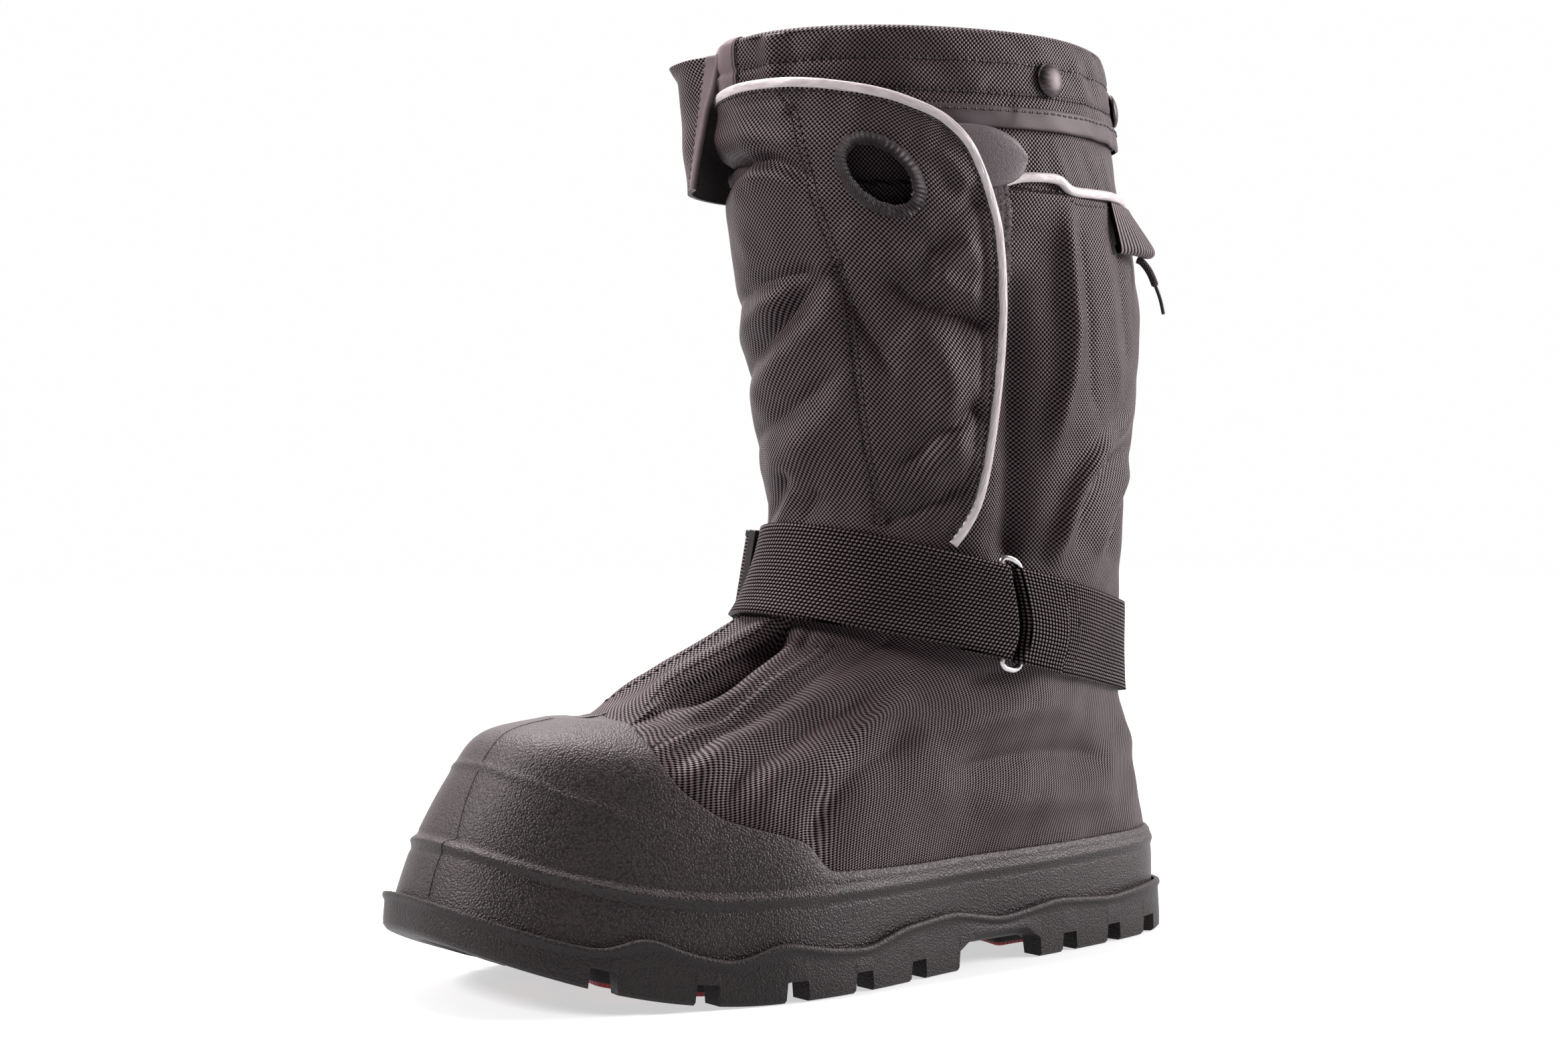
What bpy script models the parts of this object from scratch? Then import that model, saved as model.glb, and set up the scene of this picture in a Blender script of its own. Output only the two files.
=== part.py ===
"""Left winter overshoe standing empty on its sole, as an assembly of separate pieces.

Frame: +X to the toe, +Y to the wearer's left (lateral side), +Z up, floor at Z = 0.
Sizes are millimetres and degrees; meshes are written in metres.
Angles run round the boot from the front (0) by the lateral side (90) to the back (180).
"""
import math

import bmesh
import bpy
import numpy as np

MM = 0.001

for stale in list(bpy.data.objects):
    bpy.data.objects.remove(stale, do_unlink=True)

# Sole plan and rocker
SOLE_HALF_LENGTH = 173.8
SOLE_MARGIN = 5.8
SPRING_START = 68.0
TOE_SPRING = 27.0
SPINE_HEEL = -115.0
SPINE_TOE = 105.0
CENTRE_LINE = (-4.0, -4.0, 3.0, 6.0, 2.0, -5.0, -10.0)
HEEL_STATION = 0.15
WAIST_STATION = 0.38
BALL_STATION = 0.70

# Walls and gaps
GAP = 0.3
UPPER_WALL = 2.2
GALOSH_WALL = 2.5
GALOSH_EDGE = 1.3
RIB_HEIGHT = 1.3
PANEL_STEP = 2.5
LIP_WALL = 2.2
SLAB_TOP = 10.5
TREAD_FLOOR = 7.5
INSOLE_THICKNESS = 4.0
INSOLE_MARGIN = 5.2

# Last sections from the feather edge up: half widths at heel, waist and ball, rise of the
# section from back to front, share of the toe spring, share of the plan curve, squareness
SECTION = ("front_x", "front_z", "back_x", "back_z", "heel", "waist", "ball",
           "rise", "spring", "bend", "toe_square", "heel_square")
SECTIONS = np.array((
    (168, 10.8, -168, 10.8, 49, 45, 62, 1.0, 1.0, 1.0, 2.7, 3.6),
    (161, 36.0, -168, 38.0, 49, 46, 61, 1.0, 1.0, 1.0, 2.45, 3.5),
    (149, 66.0, -166, 58.0, 48, 48, 58, 2.0, 0.8, 0.85, 2.4, 3.2),
    (137, 87.0, -164, 73.0, 47, 49, 55, 2.0, 0.5, 0.75, 2.4, 2.9),
    (116, 96.5, -162, 87.0, 46, 49, 50, 2.0, 0.2, 0.5, 2.1, 2.6),
    (95, 98.5, -160, 100.0, 46, 49, 48, 1.5, 0.0, 0.4, 2.1, 2.4),
    (61, 112.5, -158, 115.0, 47, 50, 48, 1.0, 0.0, 0.3, 2.1, 2.3),
    (26, 131.0, -156, 130.0, 49, 52, 50, 1.0, 0.0, 0.2, 2.0, 2.2),
    (7, 171.0, -155, 153.0, 51, 54, 53, 1.0, 0.0, 0.1, 2.0, 2.1),
    (12, 205.0, -160, 197.0, 55, 58, 57, 1.0, 0.0, 0.0, 2.0, 2.0),
    (18, 250.0, -165, 250.0, 59, 62, 61, 1.0, 0.0, 0.0, 2.0, 2.0),
    (26, 300.0, -156, 300.0, 60, 63, 62, 1.0, 0.0, 0.0, 2.0, 2.0),
    (31, 356.0, -144, 361.0, 58, 60, 59, 1.0, 0.0, 0.0, 2.0, 2.0),
    (32, 366.0, -142, 371.0, 58, 60, 59, 1.0, 0.0, 0.0, 2.0, 2.0),
), dtype=float)
UPPER_UNDER_GALOSH = ((0.06, 0.0), (0.55, 0.0), (1.08, 0.0), (1.08, 0.35), (1.08, 0.7), (1.08, 1.0))
VAMP_SHARES = (0.25, 0.5, 0.75, 1.0)
VAMP_TOP = 7.15
VAMP_COLUMN = 4
SEAM_HALF = 0.0025
SHAFT_LEVELS = (7.165, 7.65, 8.2, 8.9, 9.7, 10.4, 10.95, 11.03, 11.5, 11.96)
STEP_LEVEL = 11.0
ROUND_COUNT = 36
ROUND_EASE = 0.1

# Galosh upper edge: angle from the toe and section level
GALOSH_TOP = ((0, 5.0), (14, 4.75), (26, 4.2), (38, 3.4), (48, 2.5), (56, 2.05), (64, 1.85),
              (70, 1.68), (74, 1.25), (90, 1.2), (180, 1.2))
GALOSH_ROWS = ((0.035, 0.0), (0.55, 0.0), (0.94, 0.0), (1.02, 0.0), (1.08, 0.0), (1.08, 0.35),
               (1.08, 0.7), (1.08, 1.0))
RIB_ROWS = (2, 3)

# Outsole: rim height above the local floor line by x, and the lug stations along x
RIM = ((-173, 20), (-150, 21), (-120, 19), (-85, 22), (-52, 18), (-25, 23), (5, 21), (25, 16),
       (45, 18), (64, 22), (82, 15.5), (98, 18), (114, 22.5), (128, 14.5), (150, 13.5), (173, 13))
LUGS = ((126, 91), (91, 58), (58, 28), (28, -2), (-2, -31), (-69, -91), (-91, -120), (-120, -146))
FOREFOOT_LUGS = 5
NOTCH_HALF = 4.0
DRAFT = 0.6
RIM_SLOPE = 0.6
ARCH_STATIONS = (-36, -45, -55, -65)
TOE_BUMPER_ANGLES = (0, 7, 14, 20, 26, 32)
HEEL_BUMPER_ANGLES = (156, 160, 164, 169, 174, 180)
NICK_ANGLES = (0, 20, 164, 180)
RING_INSET = (0.0, 1.2, 10.0, 10.8, 23.0, 25.0, 25.8)
BOTTOM = {
    "lug_end": (1.2, 0.0, 0.0, 7.5, 7.5, 7.5, 7.5),
    "lug_middle": (1.2, 0.0, 0.0, 1.6, 7.5, 7.5, 7.5),
    "notch": (7.5, 7.5, 7.5, 7.5, 7.5, 7.5, 7.5),
    "bumper": (1.2, 0.0, 0.0, 0.0, 0.0, 0.0, 7.5),
    "nick": (1.2, 0.0, 0.0, 0.0, 5.0, 6.0, 7.5),
    "arch": (12.5, 11.0, 7.8, 7.7, 7.5, 7.5, 7.5),
}

# Tread inserts: corners in the sole's own plane
INSERTS = {
    "tread_insert_01": ((124, -28), (108, -30), (117, 0), (124, 14), (135, -6)),
    "tread_insert_02": ((105, -11), (95, 6), (73, 37), (78, 41), (104, 32), (114, 20)),
    "tread_insert_03": ((96, -36), (75, -42), (85, 3), (90, 3)),
    "tread_insert_04": ((63, -39), (51, -38), (70, 21), (76, 20)),
    "tread_insert_05": ((53, -2), (47, 2), (43, 43), (63, 43)),
    "tread_insert_06": ((41, -39), (20, -35), (35, 6), (40, 6)),
    "tread_insert_07": ((15, -18), (11, -16), (16, 42), (32, 43)),
    "tread_insert_08": ((2, -28), (-16, -24), (1, 4), (6, 3)),
    "tread_insert_09": ((-9, 2), (-14, 4), (-15, 36), (6, 39)),
    "tread_insert_10": ((-63, -28), (-80, -27), (-65, 13), (-60, 12)),
    "tread_insert_11": ((-85, -31), (-102, -31), (-92, -5), (-88, -6)),
    "tread_insert_12": ((-110, -30), (-125, -28), (-104, 6), (-98, 5)),
    "tread_insert_13": ((-134, -21), (-143, -10), (-141, 5), (-125, -9)),
    "tread_insert_14": ((-81, -4), (-106, 24), (-75, 26)),
    "tread_insert_15": ((-117, -3), (-134, 18), (-113, 21)),
}
CORNER_RADIUS = 3.5
INSERT_DRAFT = 0.8
BEND_SLICES = (86, 98, 110, 122)

# Front flap: free side edge and top edge as angle and height; sewn edge on the medial side
FLAP_SIDE = ((57, 152), (58.5, 162), (64.5, 178), (69, 205), (70.5, 237), (72, 270), (71.5, 288),
             (69, 304), (66, 314), (61, 322))
FLAP_TOP = ((-100, 328), (-65, 330), (-38, 332), (-12, 335.5), (12, 336), (31, 334), (48, 329.5),
            (61, 322))
FLAP_BOTTOM = 150.0
FLAP_COLUMNS = 18
FLAP_ROWS = 11
FLAP_WALL = 2.0
FLAP_SEWN = 0.4
FLAP_LIFT = 2.2
FLAP_LIFT_ANGLES = (-100, -40)
FLAP_STRAPPED = 0.45
FLAP_STRAPPED_HEIGHTS = (160, 195)
OVER_CUFF = 0.8
OVER_CUFF_HEIGHTS = (300, 318)
HOLE_ANGLE = 43.5
HOLE_HEIGHT = 301.5
HOLE_LONG = 14.8
HOLE_SHORT = 8.8
HOLE_TILT = -42.0
HOLE_COUNT = 24
HOLE_PUNCH = (-4.5, 6.0)
HOLE_RADIUS = 74.0
BULGE = 5.0
BULGE_REACH = 34.0
HOLE_RING_WIDTH = 4.8
HOLE_RING_HEIGHT = 2.2
PIPING_RADIUS = 1.9

# Collar pieces
COLLAR_TILT = 5.0
CUFF_FIRST = -2
CUFF_LAST = 32
# Cuff section: offset, height, and how far its front end stands off
CUFF_PROFILE = ((-1.6, 322, 0.0), (-1.6, 338, 0.8), (-1.6, 355, 3.0), (-3.9, 358.4, 1.6),
                (-6.3, 355.5, 0.0), (-6.3, 346, 0.0))
CUFF_END_ANGLES = (-12, -23.5)
CUFF_WALL = 1.8
BINDING_LOW = 320.5
BINDING_HIGH = 329.0
BINDING_WALL = 1.0
CUFF_FACE = -0.7
# Collar wing: angle, and inner offset at its lower and upper edges
WING = ((-126, 1.9, 1.9), (-108, 3.2, 3.4), (-92, 4.6, 6.0), (-76, 8.0, 11.5), (-60, 12.5, 18.0),
        (-46, 15.2, 22.0), (-34, 15.6, 22.3), (-26, 14.9, 15.8), (-19, 13.2, 4.6))
WING_COLUMNS = 12
WING_TAPE_START = 7.65
WING_ROWS = 4
WING_LOW = 303.0
WING_HIGH = 354.0
WING_LOW_RISE = 3.0
WING_LOW_ANGLES = (-60, -126)
WING_WALL = 1.8
WING_TAPE_WALL = 0.9
SNAPS = {"snap_button_front": (98, 343.3), "snap_button_rear": (150, 342)}
SNAP_LIFT = 0.55
SNAP_COUNT = 12
SNAP_PROFILE = ((0.0, 0.0), (6.2, 0.0), (6.3, 0.8), (5.2, 1.9), (3.0, 2.6), (0.0, 2.8))
BACK_PIPING_HEIGHT = 303.3
BACK_PIPING_OFFSET = -0.55
BACK_PIPING_FIRST = 8
BACK_PIPING_LAST = 25
TAB_START = 60.0
TAB_END = 84.5
TAB_HEIGHT = 310.5
TAB_HALF = 12.0
TAB_STRAIGHT = 0.45
TAB_WALL = 1.4
TAB_OFFSET = 2.3
HOOK_LOW = 214.0
HOOK_HIGH = 296.0
HOOK_REACH = (-9, 5)
HOOK_OFFSET = 0.5
HOOK_WALL = 0.8

# Instep strap
WEBBING_WIDTH = 37.0
WEBBING_WALL = 1.6
STRAP_MIDDLE = 134.0
STRAP_RISE = 17.0
STRAP_FRONT = -60.0
STRAP_LEAN = -0.37
RING_FRONT = 82.0
RING_REAR = 88.0
RING_TURN = 1.6
RING_PAST = 1.3
RING_WIRE = 1.25
RING_LIFT = 3.8
RING_HALF = 21.6
STRAP_RADIUS = 82.0
OVER_FLAP = 5.4
OVER_UPPER = 1.4
HEEL_STRAP_END = 296.0
BUCKLE_ANGLE = -52.0
BUCKLE_REACH = 18.0
BUCKLE_LENGTH = 26.0
BUCKLE_HALF = 21.5
BUCKLE_WALL = 3.0
BUCKLE_LIFT = 0.9
FLANGE_INSET = 1.7
FLANGE_RISE = 3.2
FLANGE_SIZES = (24.0, 2.6, 4.2)
SLOT_APART = 7.0
SLOT_SIZES = (4.0, 36.4, 12.0)
TAIL_LENGTH = 22.0

# Pull loop and cord at the back
LOOP_ANGLES = (119, 129.5, 140)
LOOP_STAND = (0.2, 0.7, 1.0)
LOOP_PROFILE = ((299.4, 0.75), (296.5, 2.0), (290, 5.2), (284, 8.0), (281.2, 8.8), (279.8, 7.6),
                (280.2, 4.9), (282.5, 3.4))
LOOP_ROWS = 12
LOOP_WALL = 1.5
CORD_ANGLE = 138.0
CORD_RADIUS = 1.5
CORD_PATH = ((279.2, 2.0), (277.7, 4.2), (273.4, 6.6), (269.2, 7.9))
TIP_RADIUS = 0.8
TIP_PATH = ((268.4, 8.2), (262.5, 9.7), (256.4, 10.6))

PARTS = bpy.data.collections.new("overshoe")
CUTTERS = bpy.data.collections.new("cutters")
bpy.context.scene.collection.children.link(PARTS)
bpy.context.scene.collection.children.link(CUTTERS)

PALETTE = {
    "rubber": (0.045, 0.040, 0.040, 0.62),
    "sole_rubber": (0.040, 0.036, 0.036, 0.66),
    "red_rubber": (0.50, 0.022, 0.035, 0.55),
    "nylon": (0.050, 0.043, 0.045, 0.80),
    "webbing": (0.030, 0.026, 0.026, 0.85),
    "reflective": (0.72, 0.70, 0.70, 0.45),
    "thread": (0.10, 0.09, 0.09, 0.70),
    "leatherette": (0.06, 0.055, 0.057, 0.55),
    "plastic": (0.020, 0.019, 0.020, 0.40),
    "steel": (0.55, 0.55, 0.56, 0.25),
    "foam": (0.06, 0.06, 0.065, 0.95),
}
METALS = ("steel",)


def finish(name):
    """Principled material of that name from the palette."""
    found = bpy.data.materials.get(name)
    if found:
        return found
    red, green, blue, rough = PALETTE[name]
    made = bpy.data.materials.new(name)
    made.use_nodes = True
    shader = made.node_tree.nodes["Principled BSDF"]
    shader.inputs["Base Color"].default_value = (red, green, blue, 1.0)
    shader.inputs["Roughness"].default_value = rough
    shader.inputs["Metallic"].default_value = 1.0 if name in METALS else 0.0
    return made


def along(rows, place):
    """Catmull-Rom values of a table of rows at fractional row numbers."""
    rows = np.asarray(rows, dtype=float)
    if rows.ndim == 1:
        rows = rows[:, None]
    last = len(rows) - 1
    place = np.clip(np.asarray(place, dtype=float), 0.0, last)
    cell = np.clip(np.floor(place).astype(int), 0, last - 1)
    t = (place - cell)[..., None]
    before = rows[np.clip(cell - 1, 0, last)]
    here = rows[cell]
    after = rows[cell + 1]
    beyond = rows[np.clip(cell + 2, 0, last)]
    slope_here = (after - before) / 2
    slope_after = (beyond - here) / 2
    return (here * (2 * t**3 - 3 * t**2 + 1) + slope_here * (t**3 - 2 * t**2 + t)
            + after * (3 * t**2 - 2 * t**3) + slope_after * (t**3 - t**2))


def ease(low, high, value):
    """Smooth step from 0 at low to 1 at high."""
    t = np.clip((np.asarray(value, dtype=float) - low) / (high - low), 0.0, 1.0)
    return t * t * (3 - 2 * t)


def spring(x):
    """Toe spring: parabola from the ball to the toe tip."""
    return TOE_SPRING * (np.clip(x - SPRING_START, 0, None) / (SOLE_HALF_LENGTH - SPRING_START))**2


def last_form(level, angle):
    """Point of the last at a section level and an angle in radians."""
    level, angle = np.broadcast_arrays(np.asarray(level, float), np.asarray(angle, float))
    row = dict(zip(SECTION, np.moveaxis(along(SECTIONS, level), -1, 0)))
    reach = np.cos(angle)
    station = (1 + reach) / 2
    square = np.where(reach > 0, row["toe_square"], row["heel_square"])
    side = np.sign(np.sin(angle)) * np.clip(1 - np.abs(reach)**square, 0, 1)**(1 / square)
    half = row["heel"] + (row["waist"] - row["heel"]) * ease(HEEL_STATION, WAIST_STATION, station)
    half = half + (row["ball"] - row["waist"]) * ease(WAIST_STATION, BALL_STATION, station)
    shift = along(CENTRE_LINE, station * (len(CENTRE_LINE) - 1))[..., 0]
    x = row["back_x"] + (row["front_x"] - row["back_x"]) * station
    y = side * half + shift * row["bend"]
    z = row["back_z"] + (row["front_z"] - row["back_z"]) * station**row["rise"]
    z = z + row["spring"] * spring(x)
    return np.stack((x, y, z), axis=-1)


def outward(level, angle):
    """Unit normal of the last, by small steps of both parameters."""
    turn = last_form(level, np.asarray(angle) + 0.02) - last_form(level, np.asarray(angle) - 0.02)
    climb = last_form(np.asarray(level) + 0.02, angle) - last_form(np.asarray(level) - 0.02, angle)
    normal = np.cross(turn, climb)
    return normal / np.linalg.norm(normal, axis=-1, keepdims=True)


def skin(level, angle, offset):
    """Last surface moved outward by an offset."""
    return last_form(level, angle) + np.asarray(offset, float)[..., None] * outward(level, angle)


LEVEL_SAMPLES = np.linspace(0, len(SECTIONS) - 1, 400)


def level_at(angle, height):
    """Section level whose point at this angle has this height."""
    angle, height = np.broadcast_arrays(np.asarray(angle, float), np.asarray(height, float))
    flat = [np.interp(h, last_form(LEVEL_SAMPLES, a)[:, 2], LEVEL_SAMPLES)
            for a, h in zip(angle.ravel(), height.ravel())]
    return np.array(flat).reshape(angle.shape)


def place(angle_deg, height, offset):
    """Skin point given by an angle in degrees, a height and an offset."""
    angle = np.radians(np.asarray(angle_deg, float))
    angle, height, offset = np.broadcast_arrays(angle, np.asarray(height, float), np.asarray(offset, float))
    return skin(level_at(angle, height), angle, offset)


def facing(angle_deg, height):
    """Right, up and outward unit axes of the skin at an angle and height."""
    angle = math.radians(angle_deg)
    normal = outward(level_at(angle, height), angle)
    right = np.cross((0.0, 0.0, 1.0), normal)
    right = right / np.linalg.norm(right)
    return right, np.cross(normal, right), normal


def add_object(name, mesh, material):
    """Link a mesh or curve as a named node of the overshoe."""
    node = bpy.data.objects.new(name, mesh)
    mesh.materials.append(finish(material))
    PARTS.objects.link(node)
    return node


def add_mesh(name, points, faces, material, close=True):
    """Mesh node from points in millimetres."""
    mesh = bpy.data.meshes.new(name)
    mesh.from_pydata([tuple(p) for p in np.asarray(points) * MM], [], faces)
    if close:
        work = bmesh.new()
        work.from_mesh(mesh)
        bmesh.ops.recalc_face_normals(work, faces=work.faces)
        work.to_mesh(mesh)
        work.free()
    return add_object(name, mesh, material)


def grid_faces(rows, columns, around, start=0):
    """Triangles of a grid, all split the same way, closed round the columns if asked."""
    faces = []
    for i in range(rows - 1):
        for j in range(columns if around else columns - 1):
            k = (j + 1) % columns
            low, high = start + i * columns, start + (i + 1) * columns
            faces.append((low + j, low + k, high + k))
            faces.append((low + j, high + k, high + j))
    return faces


def sheet(name, grid, wall, material, side=0.0):
    """Open grid surface given a wall by Solidify; side -1 thickens inward, 0 both ways."""
    rows, columns = grid.shape[:2]
    node = add_mesh(name, grid.reshape(-1, 3), grid_faces(rows, columns, False), material, close=False)
    wall_modifier = node.modifiers.new("wall", "SOLIDIFY")
    wall_modifier.thickness = wall * MM
    wall_modifier.offset = side
    return node


def two_skins(name, outer, inner, material, around):
    """Closed wall between two grids of the same rows and columns, rimmed along every open edge."""
    rows, columns = outer.shape[:2]
    inside = rows * columns
    faces = grid_faces(rows, columns, around) + grid_faces(rows, columns, around, start=inside)
    edges = []
    for start in (0, inside - columns):
        steps = columns if around else columns - 1
        edges += [(start + j, start + (j + 1) % columns) for j in range(steps)]
    if not around:
        for start in (0, columns - 1):
            edges += [(start + i * columns, start + (i + 1) * columns) for i in range(rows - 1)]
    faces += [(a, b, inside + b, inside + a) for a, b in edges]
    return add_mesh(name, np.concatenate((outer.reshape(-1, 3), inner.reshape(-1, 3))), faces, material)


def ring_stack(name, rings, material):
    """Closed solid from stacked outlines whose points pair across the sole."""
    count = len(rings[0])
    half = count // 2
    points = np.concatenate(rings)
    faces = grid_faces(len(rings), count, True)
    for start in (0, (len(rings) - 1) * count):
        faces.append((start, start + 1, start + count - 1))
        for j in range(1, half - 1):
            faces.append((start + j, start + j + 1, start + count - j - 1, start + count - j))
        faces.append((start + half - 1, start + half, start + half + 1))
    return add_mesh(name, points, faces, material)


def tube(name, path, radius, material, closed=False):
    """Round cord along a path as a bevelled curve with caps."""
    curve = bpy.data.curves.new(name, "CURVE")
    curve.dimensions = "3D"
    line = curve.splines.new("POLY")
    line.points.add(len(path) - 1)
    for point, (x, y, z) in zip(line.points, np.asarray(path) * MM):
        point.co = (x, y, z, 1.0)
    line.use_cyclic_u = closed
    curve.bevel_depth = radius * MM
    curve.bevel_resolution = 1
    curve.use_fill_caps = not closed
    return add_object(name, curve, material)


def boxed(name, centre, axes, sizes, collection):
    """Box with its own axes, sizes along right, up and outward."""
    corners = np.array([(a, b, c) for a in (-0.5, 0.5) for b in (-0.5, 0.5) for c in (-0.5, 0.5)])
    points = centre + (corners * np.asarray(sizes)) @ np.array(axes)
    faces = [(0, 1, 3, 2), (4, 6, 7, 5), (0, 4, 5, 1), (2, 3, 7, 6), (0, 2, 6, 4), (1, 5, 7, 3)]
    mesh = bpy.data.meshes.new(name)
    mesh.from_pydata([tuple(p) for p in points * MM], [], faces)
    work = bmesh.new()
    work.from_mesh(mesh)
    bmesh.ops.recalc_face_normals(work, faces=work.faces)
    work.to_mesh(mesh)
    work.free()
    node = bpy.data.objects.new(name, mesh)
    collection.objects.link(node)
    return node


def combine(node, tool, operation):
    """Exact Boolean of a node with a tool kept as a hidden wire."""
    tool.hide_render = True
    tool.display_type = "WIRE"
    step = node.modifiers.new(operation.lower(), "BOOLEAN")
    step.operation = operation
    step.solver = "EXACT"
    step.object = tool


def round_angles(count):
    """Angles round the boot, closer together along the sides."""
    turn = np.arange(count) / count
    return 2 * np.pi * turn + ROUND_EASE * np.sin(4 * np.pi * turn)


ROUND = round_angles(ROUND_COUNT)
ROUND_TURNS = {k: ROUND[k % ROUND_COUNT] + 2 * np.pi * (k // ROUND_COUNT) for k in range(-5, ROUND_COUNT)}


def galosh_top(angle):
    """Section level of the galosh's upper edge at an angle in radians."""
    folded = np.degrees(np.abs((angle + np.pi) % (2 * np.pi) - np.pi))
    return np.interp(folded, [row[0] for row in GALOSH_TOP], [row[1] for row in GALOSH_TOP])


def foot_levels(angles):
    """Levels of the rows of the foot: under the galosh, then up to the seam under the strap."""
    top = galosh_top(angles)
    rows = [low + (top - low) * share for low, share in UPPER_UNDER_GALOSH]
    return np.array(rows + [top + (VAMP_TOP - top) * share for share in VAMP_SHARES])


def build_upper():
    """Upper in three cloth panels, vamp, quarters and shaft, seamed beside the instep and under the strap;
    the shaft is narrower above the back piping."""
    vamp = np.array([ROUND_TURNS[k] for k in range(-VAMP_COLUMN, VAMP_COLUMN + 1)])
    quarters = np.array([ROUND_TURNS[k] for k in range(VAMP_COLUMN, ROUND_COUNT - VAMP_COLUMN + 1)])
    for angles in (vamp, quarters):
        angles[0] += SEAM_HALF
        angles[-1] -= SEAM_HALF
    shaft_levels = np.repeat(np.array(SHAFT_LEVELS)[:, None], len(ROUND), axis=1)
    for name, angles, levels in (("upper_vamp", vamp, foot_levels(vamp)),
                                 ("upper_quarters", quarters, foot_levels(quarters)),
                                 ("upper_shaft", ROUND, shaft_levels)):
        turns = np.broadcast_to(angles, levels.shape)
        offsets = np.where(levels > STEP_LEVEL, -GAP - PANEL_STEP, -GAP)
        outer = skin(levels, turns, offsets)
        inner = skin(levels, turns, offsets - UPPER_WALL)
        two_skins(name, outer, inner, "nylon", around=angles is ROUND)


def build_galosh():
    """Toe cap and foxing as two lofted skins joined along both edges."""
    top = galosh_top(ROUND)
    outer = []
    inner = []
    for number, (low, share) in enumerate(GALOSH_ROWS):
        level = low + (top - low) * share
        wall = GALOSH_WALL - (GALOSH_WALL - GALOSH_EDGE) * share**2
        if number in RIB_ROWS:
            wall = wall + RIB_HEIGHT
        outer.append(skin(level, ROUND, np.full(len(ROUND), wall)))
        inner.append(skin(level, ROUND, np.zeros(len(ROUND))))
    two_skins("galosh", np.array(outer), np.array(inner), "rubber", around=True)


def sole_stations():
    """Angles and kinds of the outsole's stations from toe to heel on one side."""
    half = SECTIONS[0][0]
    rows = [(math.radians(a), "nick" if a in NICK_ANGLES else "bumper") for a in TOE_BUMPER_ANGLES]

    def at(x):
        return math.acos(x / half)

    rows.append((at(LUGS[0][0] + NOTCH_HALF + DRAFT), "bumper"))
    rows.append((at(LUGS[0][0] + NOTCH_HALF), "notch"))
    for number, (front, back) in enumerate(LUGS):
        if number == FOREFOOT_LUGS:
            rows += [(at(x), "arch") for x in ARCH_STATIONS]
        rows.append((at(front - NOTCH_HALF), "notch"))
        rows.append((at(front - NOTCH_HALF - DRAFT), "lug_end"))
        rows.append((at((front + back) / 2), "lug_middle"))
        rows.append((at(back + NOTCH_HALF + DRAFT), "lug_end"))
        rows.append((at(back + NOTCH_HALF), "notch"))
    rows.append((at(LUGS[-1][1] - NOTCH_HALF), "notch"))
    rows.append((at(LUGS[-1][1] - NOTCH_HALF - DRAFT), "bumper"))
    rows += [(math.radians(a), "nick" if a in NICK_ANGLES else "bumper") for a in HEEL_BUMPER_ANGLES]
    return rows


def plan_normal(angle):
    """Outward normal of the feather outline in plan."""
    turn = last_form(0.0, angle + 0.01) - last_form(0.0, angle - 0.01)
    normal = np.stack((turn[..., 1], -turn[..., 0]), axis=-1)
    return normal / np.linalg.norm(normal, axis=-1, keepdims=True)


def build_outsole():
    """Cup sole: rim, side wall, lugs with inward pyramids, bumpers and raised arch edges."""
    side = sole_stations()
    angles = np.array([a for a, kind in side] + [2 * math.pi - a for a, kind in side[-2:0:-1]])
    kinds = [kind for a, kind in side] + [kind for a, kind in side[-2:0:-1]]
    feather = last_form(0.0, angles)[:, :2]
    normal = plan_normal(angles)
    outline = feather + SOLE_MARGIN * normal
    spine = np.stack((np.clip(outline[:, 0], SPINE_HEEL, SPINE_TOE), 0 * angles), axis=-1)
    share = spine[:, 0] / (2 * SECTIONS[0][0]) + 0.5
    spine[:, 1] = along(CENTRE_LINE, share * (len(CENTRE_LINE) - 1))[:, 0]
    inward = spine - outline
    inward = inward / np.linalg.norm(inward, axis=-1, keepdims=True)

    def ring(plan, height):
        return np.column_stack((plan, height + spring(plan[:, 0])))

    rim = np.interp(outline[:, 0], [row[0] for row in RIM], [row[1] for row in RIM])
    lip_inside = outline - LIP_WALL * normal
    slab = np.full(len(angles), SLAB_TOP)
    rings = [ring(lip_inside, slab), ring(lip_inside, rim), ring(outline, rim - RIM_SLOPE)]
    for number, inset in enumerate(RING_INSET):
        height = np.array([BOTTOM[kind][number] for kind in kinds])
        rings.append(ring(outline + inset * inward, height))
    ring_stack("outsole", rings, "sole_rubber")


def build_insole():
    """Flat foot bed on the sole, following the toe spring."""
    angles = 2 * np.pi * np.arange(40) / 40
    plan = last_form(0.0, angles)[:, :2] - INSOLE_MARGIN * plan_normal(angles)
    low = np.column_stack((plan, SLAB_TOP + GAP + spring(plan[:, 0])))
    high = low + np.array((0.0, 0.0, INSOLE_THICKNESS))
    ring_stack("insole", [low, high], "foam")


def rounded(corners, radius):
    """Polygon with each corner replaced by a short arc of three points."""
    corners = np.array(corners, dtype=float)
    points = []
    for here, before, after in zip(corners, np.roll(corners, 1, axis=0), np.roll(corners, -1, axis=0)):
        to_before = (before - here) / np.linalg.norm(before - here)
        to_after = (after - here) / np.linalg.norm(after - here)
        reach = min(radius, 0.45 * np.linalg.norm(before - here), 0.45 * np.linalg.norm(after - here))
        points.append(here + reach * to_before)
        points.append(here + 0.25 * reach * (to_before + to_after))
        points.append(here + reach * to_after)
    return np.array(points)


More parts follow.
